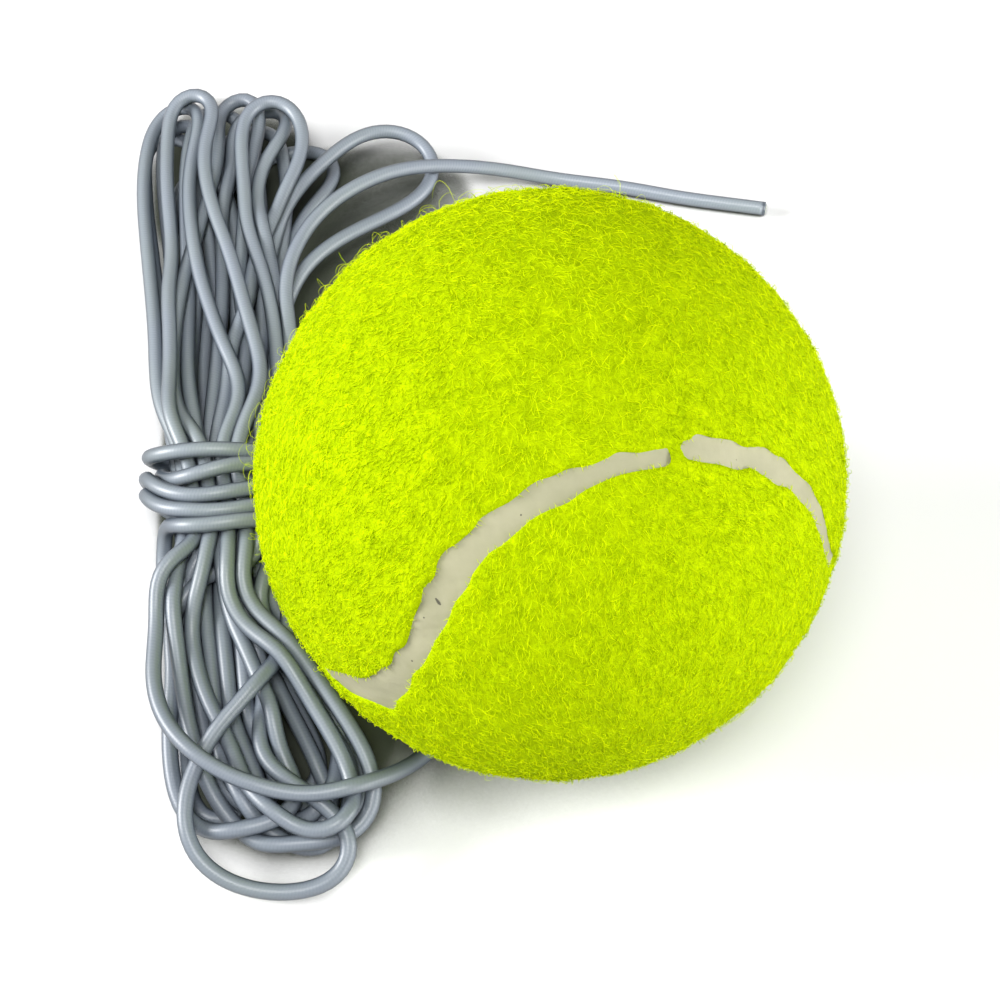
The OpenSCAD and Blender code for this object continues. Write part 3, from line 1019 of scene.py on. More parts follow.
@dataclass
class Ball:
    """Felt panels, seam strip and nap over the CAD's rubber core.

    The felt's top lies nap_room under the ball's radius, with lumps of lump_height. Over the last
    edge_round before its cut edge it drops by edge_drop. The mesh is finer in the fine_band on
    either side of the seam, and bridge_lap is how far both panels reach over the seam's break.
    No fibre comes under least_height, so that the table stays clear. The loose fibres stand
    mostly on the ball's fuzzy_side.
    """

    shape: BallShape
    view: Viewpoint
    felt_depth: float = 2.3
    strip_depth: float = 1.2
    strip_under: float = 0.45
    nap_room: float = 0.12
    edge_round: float = 0.6
    edge_drop: float = 0.5
    lump_height: float = 0.14
    crease_depth: float = 0.4
    bridge_lap: float = 0.34
    fine_band: float = 2.2
    least_height: float = 0.07
    nap_fibres: int = 76000
    nap_parts: int = 3
    stray_fibres: int = 9000
    fuzzy_side: tuple[float, float, float] = (-0.72, 0.6, 0.25)

    def __post_init__(self) -> None:
        """Finds both edges of the seam."""
        self.lines = SeamLines(self.shape, self.view)

    def build(self) -> None:
        """Makes every visible piece of the ball and dresses its hidden ones."""
        felt = NeedleFelt("needled_wool_nylon_felt").material()
        nap = NapFibre("dyed_felt_fibres").material()
        for name, edge, node, seed in (("felt_panel_a_dressed", self.lines.edges[0],
                                        "felt_panel_a", 3),
                                       ("felt_panel_b_dressed", self.lines.edges[1],
                                        "felt_panel_b", 5)):
            finish_piece(self.felt_panel(name, edge, felt), "ball", "felt", node)
            self.nap(node, edge, nap, seed)
        spots = tuple((*(self.shape.centre + self.shape.seam_radius * self.view.on_ball(
            px, py, self.shape.centre, self.shape.seam_radius)), size)
            for px, py, size in SEAM_SPOTS_PX)
        rubber = SeamRubber("natural_rubber_seam", spots=spots).material()
        finish_piece(self.seam_strip(rubber), "ball", "seam_rubber", "seam_strip")
        self.stray(nap)
        self.dress_core()

    def top(self, ways: np.ndarray, inside: np.ndarray) -> np.ndarray:
        """Radius of the felt's top: lumpy, rounded down along its cut edge, and off the table.

        Args:
            ways: Unit vectors from the ball's middle.
            inside: Distance of each from the panel's edge, in millimetres.

        Returns:
            Radii in millimetres.
        """
        points = ways * self.shape.radius
        lumps = self.lump_height * (0.6 * ripples(points, 5.5, 11) + 0.4 * ripples(points, 1.9, 12))
        t = np.clip(1 - inside / self.edge_round, 0, 1) * (1 - 0.35 * self.bridge(points))
        lumps = lumps * (1 - t) - self.crease(points)
        radii = (self.shape.radius - self.nap_room + lumps
                 - self.edge_drop * (1 - np.sqrt(1 - t * t * 0.98)))
        return np.minimum(radii, (self.shape.radius - 0.02) / np.maximum(-ways[:, 2], 0.5))

    def away_from(self, points: np.ndarray, ends_px: tuple[tuple[float, float], ...]
                  ) -> tuple[np.ndarray, np.ndarray]:
        """Distance of points from a line in the picture, and how far along it they lie.

        Args:
            points: Points on the ball, from its middle, in millimetres.
            ends_px: Ends of the line, in the picture's pixels.

        Returns:
            Distances in millimetres, and shares of the line from 0 to 1.
        """
        a, b = (self.shape.radius * self.view.on_ball(px, py, self.shape.centre,
                                                      self.shape.radius) for px, py in ends_px)
        share = np.clip((points - a) @ (b - a) / ((b - a) @ (b - a)), 0, 1)
        return np.linalg.norm(points - a - share[:, None] * (b - a), axis=1), share

    def crease(self, points: np.ndarray) -> np.ndarray:
        """Depth of the faint crease above the strip's break, in millimetres.

        Args:
            points: Points on the ball, from its middle, in millimetres.

        Returns:
            A depth per point.
        """
        away, share = self.away_from(points, CREASE_PX)
        return (self.crease_depth * np.exp(-(away / (0.45 + 0.65 * share ** 4)) ** 2)
                * (0.25 + 0.75 * share ** 3))

    def bridge(self, points: np.ndarray) -> np.ndarray:
        """Share from 0 to 1 by which the felt closes over the strip's break."""
        return np.exp(-(self.away_from(points, BRIDGE_PX)[0] / 0.75) ** 4)

    def sphere(self, name: str, near_seam: Callable[[np.ndarray], np.ndarray]) -> bpy.types.Object:
        """Adds a fine sphere round the ball's middle, finer along the seam.

        Args:
            name: Name of the piece.
            near_seam: Gives the distance from the seam for unit vectors.

        Returns:
            The sphere, selected and active, with its place in its mesh.
        """
        bpy.ops.object.select_all(action="DESELECT")
        bpy.ops.mesh.primitive_ico_sphere_add(subdivisions=7, radius=self.shape.radius * MM,
                                              location=tuple(self.shape.centre * MM))
        obj = bpy.context.object
        obj.name = obj.data.name = name
        bpy.ops.object.transform_apply(location=True, rotation=False, scale=False)
        middles = np.empty(len(obj.data.polygons) * 3)
        obj.data.polygons.foreach_get("center", middles)
        ways = unit(middles.reshape(-1, 3) / MM - self.shape.centre)
        near = np.abs(near_seam(ways)) < self.fine_band
        bpy.ops.object.mode_set(mode="EDIT")
        bpy.ops.mesh.select_all(action="DESELECT")
        bpy.ops.object.mode_set(mode="OBJECT")
        obj.data.polygons.foreach_set("select", near)
        bpy.ops.object.mode_set(mode="EDIT")
        bpy.ops.mesh.select_mode(type="FACE")
        bpy.ops.mesh.subdivide(number_cuts=1)
        bpy.ops.mesh.select_all(action="SELECT")
        bpy.ops.mesh.quads_convert_to_tris()
        bpy.ops.object.mode_set(mode="OBJECT")
        return obj

    def ways_of(self, obj: bpy.types.Object) -> np.ndarray:
        """Unit vectors from the ball's middle to a mesh's vertices.

        Args:
            obj: Piece with its place in its mesh.

        Returns:
            One row per vertex.
        """
        flat = np.empty(len(obj.data.vertices) * 3)
        obj.data.vertices.foreach_get("co", flat)
        return unit(flat.reshape(-1, 3) / MM - self.shape.centre)

    def trim(self, obj: bpy.types.Object, field: Callable[[np.ndarray], np.ndarray]) -> None:
        """Cuts a mesh along the line where a field is zero and keeps the positive side.

        Args:
            obj: Sphere to cut.
            field: Gives the signed distance from the line for unit vectors.
        """
        value = field(self.ways_of(obj))
        value[np.abs(value) < 0.02] = 0.0
        bm = bmesh.new()
        bm.from_mesh(obj.data)
        side = bm.verts.layers.float.new("side")
        for vert, x in zip(bm.verts, value):
            vert[side] = x
        crossing = [e for e in bm.edges if e.verts[0][side] * e.verts[1][side] < 0]
        share = {e: e.verts[0][side] / (e.verts[0][side] - e.verts[1][side]) for e in crossing}
        bmesh.ops.bisect_edges(bm, edges=crossing, cuts=1, edge_percents=share)
        for face in list(bm.faces):
            ends = [v for v in face.verts if abs(v[side]) < 1e-3]
            if len(ends) == 2 and len(face.verts) > 3 and not any(
                    ends[1] in e.verts for e in ends[0].link_edges):
                bmesh.utils.face_split(face, ends[0], ends[1])
        bmesh.ops.delete(bm, geom=[f for f in bm.faces if min(v[side] for v in f.verts) < -1e-3],
                         context="FACES")
        bm.verts.layers.float.remove(side)
        bmesh.ops.triangulate(bm, faces=bm.faces)
        bm.to_mesh(obj.data)
        bm.free()

    def set_radii(self, obj: bpy.types.Object, ways: np.ndarray, radii: np.ndarray) -> None:
        """Moves a mesh's vertices to radii along unit vectors from the ball's middle.

        Args:
            obj: Piece to shape.
            ways: A unit vector per vertex.
            radii: A radius per vertex, in millimetres.
        """
        points = (self.shape.centre + ways * radii[:, None]) * MM
        obj.data.vertices.foreach_set("co", points.ravel())
        obj.data.update()

    def thicken(self, obj: bpy.types.Object, depth: float) -> None:
        """Gives an open shell its thickness towards the ball's middle.

        Args:
            obj: The open shell.
            depth: Its thickness in millimetres.
        """
        solid = obj.modifiers.new("thickness", "SOLIDIFY")
        solid.thickness = depth * MM
        solid.offset = -1
        bpy.context.view_layer.objects.active = obj
        bpy.ops.object.modifier_apply(modifier=solid.name)
        bpy.ops.object.shade_smooth_by_angle(angle=math.radians(50))

    def hole_distance(self, ways: np.ndarray) -> np.ndarray:
        """Distance outside the tether's hole in millimetres."""
        off = np.linalg.norm(np.cross(ways, self.shape.hole_way), axis=1) * self.shape.radius
        return np.where(ways @ self.shape.hole_way > 0, off, 99.0) - self.shape.hole_radius

    def from_seam(self, ways: np.ndarray) -> np.ndarray:
        """Distance from the nearer edge of the seam, positive on the felt."""
        return np.maximum(self.lines.edges[0].distance(ways), self.lines.edges[1].distance(ways))

    def felt_panel(self, name: str, edge: SeamEdge,
                   material: bpy.types.Material) -> bpy.types.Object:
        """One felt panel: a thick curved shell with a rounded, lumpy edge.

        Args:
            name: Name of the piece.
            edge: The panel's outline.
            material: Finish of the felt.

        Returns:
            The piece.
        """
        def field(ways: np.ndarray) -> np.ndarray:
            """Distance inside the panel, which goes round the hole."""
            closed = self.bridge_lap * self.bridge(ways * self.shape.radius)
            return np.minimum(edge.distance(ways) + closed, self.hole_distance(ways))
        obj = self.sphere(name, field)
        self.trim(obj, field)
        ways = self.ways_of(obj)
        self.set_radii(obj, ways, self.top(ways, np.maximum(field(ways), 0)))
        self.thicken(obj, self.felt_depth)
        obj.data.materials.append(material)
        return obj

    def seam_strip(self, material: bpy.types.Material) -> bpy.types.Object:
        """The rubber strip between the panels, which reaches a little under their edges.

        Args:
            material: Finish of the rubber.

        Returns:
            The piece.
        """
        def field(ways: np.ndarray) -> np.ndarray:
            """Distance inside the strip's hidden edges."""
            return self.strip_under - self.from_seam(ways)
        obj = self.sphere("seam_strip_dressed", field)
        self.trim(obj, field)
        ways = self.ways_of(obj)
        points = ways * self.shape.radius
        rise = 0.05 * ripples(points, 4.0, 21) + 0.02 * ripples(points, 1.2, 22)
        self.set_radii(obj, ways, self.shape.seam_radius + rise)
        self.thicken(obj, self.strip_depth)
        obj.data.materials.append(material)
        return obj

    def fibres(self, name: str, roots: np.ndarray, heading: np.ndarray, length: np.ndarray,
               lift: np.ndarray, curl: np.ndarray, thick: float, rings: int,
               shade: np.ndarray, material: bpy.types.Material) -> bpy.types.Object:
        """Makes many thin tapered fibres as one mesh.

        Args:
            name: Name of the piece.
            roots: Points in millimetres where the fibres leave the felt.
            heading: Unit vectors along the surface in which they start.
            length: Length of each in millimetres.
            lift: Height that each rises to over the surface.
            curl: Turn of each over its length, in radians.
            thick: Radius of a fibre at its root, in millimetres.
            rings: Rings of three corners along each before its tip.
            shade: Shade of each, from 0 to 1, and below 0 for the painted shade of the crease.
            material: Finish of the fibres.

        Returns:
            The piece.
        """
        side = unit(np.cross(unit(roots - self.shape.centre), heading))
        base = np.linalg.norm(roots - self.shape.centre, axis=1)
        at = roots.copy()
        path = [at]
        for k in range(rings):
            turn = curl * (k + 0.5) / rings
            step = heading * np.cos(turn)[:, None] + side * np.sin(turn)[:, None]
            at = at + step * (length / rings)[:, None]
            away = unit(at - self.shape.centre)
            t = (k + 1) / rings
            rise = lift * (1 - (2 * t - 1) ** 2 * 0.55)
            at = self.shape.centre + away * (base + rise)[:, None]
            at[:, 2] = np.maximum(at[:, 2], self.least_height)
            path.append(at)
        path = np.stack(path, axis=1)
        count = len(roots)
        along = unit(np.gradient(path, axis=1))
        away = unit(path - self.shape.centre)
        across = unit(np.cross(along, away))
        above = np.cross(across, along)
        width = thick * (1 - 0.65 * np.linspace(0, 1, rings + 1))[None, :, None]
        corners = [path[:, :rings] + (across * math.cos(a) + above * math.sin(a))[:, :rings]
                   * width[:, :rings]
                   for a in (math.radians(d) for d in (90, 210, 330))]
        rows = np.stack(corners, axis=2).reshape(count, rings * 3, 3)
        vertices = np.concatenate([rows, path[:, -1:]], axis=1)
        each = rings * 3 + 1
        local = [(0, 1, 2)]
        for k in range(rings - 1):
            for c in range(3):
                a, b = 3 * k + c, 3 * k + (c + 1) % 3
                local.append((b, a, a + 3, b + 3))
        for c in range(3):
            a, b = 3 * (rings - 1) + c, 3 * (rings - 1) + (c + 1) % 3
            local.append((b, a, each - 1))
        starts = np.arange(count) * each
        faces = [tuple(int(s + i) for i in f) for s in starts for f in local]
        obj = mesh_piece(name, vertices.reshape(-1, 3), faces, material)
        tone = obj.data.attributes.new("shade", "FLOAT", "POINT")
        tone.data.foreach_set("value", np.repeat(shade, each))
        return obj

    @staticmethod
    def scatter(count: int, seed: int) -> tuple[np.ndarray, np.random.Generator]:
        """Random directions spread evenly over the ball, and the generator that made them."""
        rng = np.random.default_rng(seed)
        return unit(rng.normal(size=(count, 3))), rng

    def lay_of_nap(self, ways: np.ndarray, rng: np.random.Generator,
                   spread: float) -> np.ndarray:
        """Directions in which fibres lie: brushed in broad swirls, most loosely at the far top.

        Args:
            ways: Unit vectors to the fibres' roots.
            rng: Generator of their scatter.
            spread: How widely they scatter.

        Returns:
            Unit vectors along the surface.
        """
        points = ways * self.shape.radius
        swirl = np.stack([0.4 * ripples(points, 34, 31), 0.4 * ripples(points, 34, 32),
                          1.3 + 0.4 * ripples(points, 34, 33)], axis=1)
        far_top = np.clip(ways @ np.array([0, 0.866, 0.5]), 0, 1)[:, None]
        loose = rng.normal(size=ways.shape) * spread * (0.7 + 1.6 * far_top)
        turned = np.where(rng.uniform(size=(len(ways), 1)) < 0.35, -1, 1)
        drift = unit(swirl) * turned + loose
        return unit(drift - (drift * ways).sum(1)[:, None] * ways)

    def nap(self, node: str, edge: SeamEdge, material: bpy.types.Material, seed: int) -> None:
        """Covers a panel with short brushed fibres, in a few pieces.

        Args:
            node: CAD node of the panel, which names the pieces.
            edge: The panel's outline.
            material: Finish of the fibres.
            seed: Seed of their places.
        """
        ways, rng = self.scatter(self.nap_fibres, seed)
        inside = np.minimum(edge.distance(ways), self.hole_distance(ways))
        ways, inside = ways[inside > 0.03], inside[inside > 0.03]
        for part, chosen in enumerate(np.array_split(np.arange(len(ways)), self.nap_parts)):
            w, gap = ways[chosen], inside[chosen]
            n = len(w)
            roots = self.shape.centre + w * (self.top(w, gap) - 0.06)[:, None]
            roots[:, 2] = np.maximum(roots[:, 2], self.least_height)
            heading = self.lay_of_nap(w, rng, 0.32)
            # Close to the edge many fibres hang over it.
            over = (gap < 0.5) & (rng.uniform(size=n) < 0.45)
            lead = edge.outward(w[over]) + 0.5 * heading[over]
            heading[over] = unit(lead - (lead * w[over]).sum(1)[:, None] * w[over])
            full = np.maximum(np.clip(0.36 + gap / 2.0, 0.36, 1),
                              self.bridge(w * self.shape.radius))
            length = rng.uniform(0.7, 2.0, n) * full
            half_way = unit(w * self.shape.radius + heading * (length / 2)[:, None])
            # In the crease the fibres lie shorter and lower, and their shade drops below zero:
            # painted shade.
            sunk = np.maximum(self.crease(w * self.shape.radius),
                              self.crease(half_way * self.shape.radius)) / self.crease_depth
            piece = self.fibres(
                f"{node}_nap_{part + 1}", roots, heading, length * (1 - 0.6 * sunk),
                rng.gamma(2.0, 0.095, n) * (1 - 0.8 * sunk), rng.normal(0, 0.9, n), 0.047, 3,
                np.clip(rng.normal(0.5, 0.3, n) - 1.7 * sunk, -1.3, 1), material)
            finish_piece(piece, "ball", "felt")

    def stray(self, material: bpy.types.Material) -> None:
        """Long loose fibres that stand off the felt and curl.

        Args:
            material: Finish of the fibres.
        """
        ways, rng = self.scatter(self.stray_fibres, 71)
        inside = self.from_seam(ways)
        thick = 0.03 + 0.97 * np.clip(ways @ unit(np.array(self.fuzzy_side)), 0, 1) ** 3
        thick *= np.clip(0.5 + 1.2 * ripples(ways * self.shape.radius, 7, 72), 0.1, 1)
        kept = (inside > 2.0) & (rng.uniform(size=len(ways)) < thick)
        ways, inside = ways[kept], inside[kept]
        n = len(ways)
        roots = self.shape.centre + ways * (self.top(ways, inside) - 0.05)[:, None]
        piece = self.fibres("loose_felt_fibres", roots, self.lay_of_nap(ways, rng, 1.5),
                            rng.gamma(4.0, 0.7, n), rng.gamma(1.6, 0.42, n),
                            rng.normal(0, 2.1, n), 0.028, 9,
                            np.clip(rng.normal(0.6, 0.2, n), 0, 1), material)
        finish_piece(piece, "ball", "felt")

    def dress_core(self) -> None:
        """Gives the hidden CAD pieces of the ball their finishes."""
        core = MouldedRubber("moulded_core_rubber").material()
        cement = RubberCement("dried_rubber_cement").material()
        for node, material in (("core_hole_half", core), ("core_plain_half", core),
                               ("core_cement", cement)):
            dress_node(node, material)


# Tether

class Row(Enum):
    """Rows of strands in the drawn-in waist: height, and X of the leftmost strand."""

    TOP = (10.5, -44.3)
    UPPER = (8.7, -45.3)
    MIDDLE = (6.9, -46.3)
    LOWER = (5.1, -45.3)
    BOTTOM = (3.3, -44.3)


@dataclass(frozen=True)
class Loop:
    """One loop of the hank.

    up and down are the rows and the numbers in them at which it passes the waist. far and near
    are its bends beyond the waist, as picture column, picture row and height over the table.
    """

    up: tuple[Row, int]
    far: tuple[tuple[float, float, float], ...]
    down: tuple[Row, int]
    near: tuple[tuple[float, float, float], ...]


LOOPS = (
    Loop((Row.TOP, 0),
         ((176, 420, 10.5), (171, 380, 9.5), (172, 320, 8.5), (173, 263, 8), (168, 200, 8),
          (167, 155, 8), (176, 115, 8), (193, 97, 8.5), (205, 96, 9), (207, 120, 9.3),
          (204, 155, 9.5), (211, 202, 9.7), (226, 243, 10), (244, 304, 10.2), (260, 386, 10.6)),
         (Row.TOP, 3),
         ((236, 575, 10), (262, 612, 9.6), (289, 645, 9.2), (334, 702, 8.2), (356, 738, 7.4),
          (370, 768, 6.6), (378, 800, 5.5), (369, 820, 4.8), (345, 833, 4), (312, 838, 3.5),
          (277, 838, 3.2), (246, 828, 3.4), (220, 805, 4), (203, 775, 4.8), (190, 730, 5.5),
          (180, 680, 6.5), (177, 630, 7.2), (181, 585, 8))),
    Loop((Row.UPPER, 0),
         ((160, 400, 8), (155, 330, 7.2), (149, 264, 6.5), (144, 200, 6), (147, 155, 6),
          (160, 125, 6), (178, 108, 6.2), (194, 110, 6.8), (193, 150, 7.6), (189, 190, 8.2),
          (197, 264, 8.8), (216, 325, 9.2), (240, 400, 10)),
         (Row.TOP, 2),
         ((222, 585, 9.8), (256, 641, 9), (293, 678, 8.5), (324, 723, 8), (346, 763, 7.4),
          (354, 800, 6.6), (346, 828, 5.8), (318, 836, 5.2), (285, 822, 5), (252, 785, 5.4),
          (225, 740, 6), (206, 695, 6.5), (194, 640, 7), (194, 590, 8))),
    Loop((Row.TOP, 1),
         ((180, 420, 9.6), (173, 366, 8), (178, 304, 7.4), (191, 253, 6.8), (206, 205, 6.4),
          (218, 160, 6.2), (224, 118, 6.2), (238, 100, 6.2), (252, 108, 6), (254, 150, 5.8),
          (244, 210, 5.8), (240, 290, 6.2), (246, 370, 7)),
         (Row.UPPER, 3),
         ((240, 580, 8), (250, 630, 7.2), (260, 672, 6.6), (256, 705, 6.2), (256, 735, 6),
          (268, 762, 6), (293, 786, 6), (324, 808, 5.8), (344, 828, 5.4), (353, 850, 4.8),
          (342, 872, 4), (314, 886, 3.2), (281, 892, 3), (252, 889, 3), (222, 877, 3.4),
          (198, 861, 4.2), (186, 835, 5.2), (185, 800, 6.2), (192, 766, 7), (207, 740, 7.6),
          (240, 708, 8), (273, 672, 8), (290, 630, 7.2), (280, 580, 7))),
    Loop((Row.MIDDLE, 5),
         ((270, 400, 8), (282, 335, 8), (266, 280, 8.4), (252, 223, 8.8), (242, 165, 9),
          (247, 121, 9), (268, 99, 9), (292, 113, 8.8), (303, 141, 8.4), (296, 172, 8),
          (280, 205, 7.2), (262, 250, 6.6), (248, 310, 6.6), (232, 390, 7.2)),
         (Row.UPPER, 2),
         ((226, 590, 8), (240, 636, 7.4), (262, 668, 7.0), (261, 700, 6.8), (262, 740, 6.4),
          (284, 772, 5.8), (300, 800, 4.6), (275, 815, 4), (250, 822, 3.6), (228, 835, 3.2),
          (203, 831, 3), (182, 806, 3.4), (172, 760, 4), (170, 715, 4.8), (176, 660, 5.8),
          (184, 590, 7))),
    Loop((Row.UPPER, 4),
         ((268, 400, 7), (280, 345, 7), (272, 290, 7), (262, 230, 7.2), (258, 190, 7.6),
          (264, 160, 7.8), (278, 142, 7.6), (287, 124, 7), (274, 110, 6.2), (254, 112, 5.4),
          (238, 130, 5), (228, 170, 5), (226, 230, 5.2), (222, 300, 5.8), (216, 380, 6.6)),
         (Row.MIDDLE, 2),
         ((214, 600, 6.6), (226, 660, 6), (240, 720, 5.2), (252, 770, 4.4), (270, 812, 3.6),
          (296, 828, 3.2), (322, 812, 3), (340, 775, 3.2), (338, 735, 3.8), (318, 690, 4.8),
          (292, 640, 6), (268, 590, 7))),
    Loop((Row.MIDDLE, 4),
         ((258, 390, 6), (262, 320, 6), (262, 262, 6), (272, 225, 6.4), (287, 198, 6.8),
          (314, 172, 7), (334, 155, 6.8), (356, 139, 6.2), (385, 131, 5.6), (415, 140, 5),
          (431, 158, 4.6), (432, 176, 4.4), (424, 191, 4.4), (401, 208, 4.6), (375, 221, 5),
          (344, 237, 5.4), (314, 258, 5.8), (290, 290, 6), (274, 340, 6), (262, 400, 6)),
         (Row.UPPER, 4),
         ((250, 590, 6.6), (280, 640, 6), (318, 700, 5.2), (338, 750, 4.4), (350, 800, 3.6),
          (336, 838, 2.8), (300, 846, 2.4), (262, 822, 2.6), (236, 780, 3.2), (222, 730, 4),
          (214, 670, 4.8), (208, 600, 6))),
    Loop((Row.MIDDLE, 1),
         ((182, 400, 6.2), (176, 330, 5.4), (170, 250, 4.6), (164, 190, 4.2), (166, 150, 4),
          (180, 125, 4), (200, 122, 4.2), (216, 145, 4.6), (228, 200, 5), (236, 270, 5),
          (240, 340, 5.4), (242, 400, 6)),
         (Row.MIDDLE, 3),
         ((232, 600, 6.4), (244, 660, 5.6), (250, 712, 4.8), (260, 752, 4), (276, 785, 3.2),
          (268, 805, 2.6), (240, 800, 2.6), (216, 770, 3), (202, 720, 3.6), (194, 660, 4.6),
          (192, 600, 5.8))),
    Loop((Row.UPPER, 1),
         ((186, 400, 7), (186, 330, 6.2), (188, 260, 5.6), (186, 200, 5), (190, 150, 4.6),
          (206, 118, 4.4), (226, 112, 4.2), (244, 130, 4), (256, 170, 4), (262, 230, 4.2),
          (260, 310, 4.8), (256, 390, 5.4)),
         (Row.LOWER, 3),
         ((244, 600, 5), (264, 658, 4.4), (293, 716, 3.6), (318, 769, 3), (332, 808, 2.4),
          (318, 832, 2), (288, 836, 2), (258, 808, 2.4), (236, 760, 3), (218, 700, 4),
          (206, 640, 4.8), (200, 590, 5.4))),
    Loop((Row.MIDDLE, 0),
         ((170, 400, 5), (160, 320, 4.4), (152, 250, 3.8), (146, 195, 3.4), (152, 150, 3),
          (168, 132, 3), (186, 140, 3), (198, 180, 3.2), (208, 250, 3.6), (220, 330, 4.2),
          (230, 400, 5)),
         (Row.LOWER, 2),
         ((222, 600, 4.8), (236, 660, 4.2), (250, 720, 3.4), (256, 770, 2.6), (246, 806, 2),
          (222, 818, 1.6), (198, 796, 1.6), (184, 750, 2), (180, 690, 2.8), (184, 620, 4))),
    Loop((Row.LOWER, 0),
         ((190, 400, 4.2), (196, 320, 3.6), (204, 240, 3), (214, 180, 2.6), (230, 140, 2.2),
          (252, 128, 2), (272, 138, 2), (284, 170, 2), (286, 220, 2.4), (278, 290, 3),
          (268, 370, 4)),
         (Row.LOWER, 4),
         ((262, 600, 4.6), (292, 660, 4), (326, 710, 3.2), (352, 752, 2.6), (364, 792, 2),
          (352, 820, 1.6), (322, 822, 1.4), (290, 795, 1.4), (262, 750, 2), (238, 690, 2.8),
          (218, 620, 4))),
    Loop((Row.LOWER, 1),
         ((200, 400, 3.4), (206, 320, 2.6), (214, 240, 2), (232, 185, 1.6), (262, 160, 1.4),
          (296, 152, 1.4), (326, 156, 1.4), (336, 172, 1.4), (320, 195, 1.4), (296, 230, 1.6),
          (276, 290, 2), (262, 360, 2.8)),
         (Row.BOTTOM, 3),
         ((252, 600, 3), (274, 660, 2.4), (296, 708, 2), (314, 750, 1.6), (314, 785, 1.3),
          (292, 796, 1.2), (264, 770, 1.2), (244, 720, 1.6), (226, 660, 2.2), (212, 600, 3))),
    Loop((Row.BOTTOM, 0),
         ((186, 400, 2.6), (178, 320, 2), (172, 250, 1.5), (178, 200, 1.2), (198, 172, 1.1),
          (222, 168, 1.1), (240, 190, 1.1), (246, 240, 1.2), (248, 310, 1.8), (246, 380, 2.6)),
         (Row.BOTTOM, 2),
         ()),
)

# The lead sweeps from the ball's neck over the near bends and up the hank's left side.
LEAD_START = ((-10.23, -13.58, 3.56), (-11.4, -15.1, 1.7), (-12.6, -16.8, 1.05),
              (-14.0, -19.0, 1.05))
LEAD_PX = ((426, 753, 2.2), (405, 767, 5), (375, 783, 7.6), (334, 794, 8.6), (293, 794, 8.8),
           (252, 786, 8.8), (212, 765, 8.6), (181, 741, 8.4), (161, 712, 8.2), (152, 676, 8.2),
           (156, 641, 8.4), (166, 600, 8.8), (175, 565, 9.4))
INTO_BINDING = ((-42, -1.5, 2.6), (-44.0, -3.4, 2.0), (-46.3, -2.6, 1.6), (-47.7, 1.0, 2.0),
                (-48.1, 5.0, 3.8), (-47.9, 8.2, 6.2))
# Turns round the waist, from the near one to the far one: over the top from the left to the
# right in the picture, then down its right side and back below in millimetres.
TURNS = (
    (((171.5, 522, 8.2), (174, 527, 10.2), (189, 530, 12.3), (212, 529, 12.9), (233, 526, 12.8),
      (255, 522, 11.6)),
     ((-34.0, 8.0, 9.4), (-33.6, 8.6, 6.4), (-34.6, 9.4, 3.0), (-37.5, 10.2, 1.2),
      (-41.5, 11.2, 1.05), (-46.4, 12.6, 1.3), (-49.9, 14.0, 3.6))),
    (((149, 489, 6.6), (149.5, 499, 8.4), (160, 508, 10.6), (178, 514.4, 12.2),
      (196, 516.6, 12.9), (218, 514.4, 13.1), (255, 507, 12.0)),
     ((-34.0, 10.2, 9.6), (-33.6, 10.9, 6.4), (-34.6, 11.8, 3.0), (-37.5, 12.8, 1.2),
      (-41.5, 13.8, 1.05), (-46.4, 15.2, 1.3), (-49.8, 16.6, 3.6), (-50.0, 17.4, 5.8))),
    (((160, 472, 7.6), (158, 482, 9.6), (167, 491, 11.4), (186, 496.5, 12.7), (203, 497, 13.2),
      (225, 492.5, 13.3), (255, 486, 12.2)),
     ((-34.0, 12.8, 9.8), (-33.6, 13.4, 6.4), (-34.6, 14.2, 3.0), (-37.5, 15.2, 1.2),
      (-41.5, 16.2, 1.05), (-46.4, 17.4, 1.3), (-49.2, 18.0, 3.6), (-48.6, 16.8, 6.2))),
    (((164, 483, 9.0), (176, 481, 11.3), (190, 477, 12.9), (205, 472.5, 13.4), (225, 466.5, 13.5),
      (240, 462, 13.2), (256, 457, 12.2)),
     ((-34.2, 16.8, 9.8), (-33.8, 17.2, 6.4), (-34.6, 17.6, 3.0), (-37.5, 18.2, 1.2),
      (-41.5, 19.0, 1.05), (-46.4, 20.2, 1.3), (-49.6, 20.4, 4.0), (-50.6, 19.2, 7.0))),
    (((148.5, 459, 9.4), (160, 455.5, 11.0), (174, 451.4, 12.4), (203, 449, 13.1), (233, 450, 13.0),
      (255, 453, 11.8)),
     ((-34.4, 18.0, 9.6),)),
)
TAIL_START = ((-33.9, 20.4, 7.4), (-33.9, 24.5, 7.2))
TAIL_PX = ((283, 310, 8.6), (287, 275, 9.4), (299, 243, 9.6), (320, 213, 9.4), (354, 188, 9.2),
           (395, 171, 8.2), (435, 166, 6.4), (470, 167, 4.8), (500, 169.5, 3.2), (530, 174.5, 2),
           (560, 180, 1.1), (590, 183, 1.1), (620, 187, 1.1), (650, 192, 1.1), (680, 198, 1.1))
TAIL_END = ((24.9, 66.1, 1.06), (32.55, 64.87, 1.06))


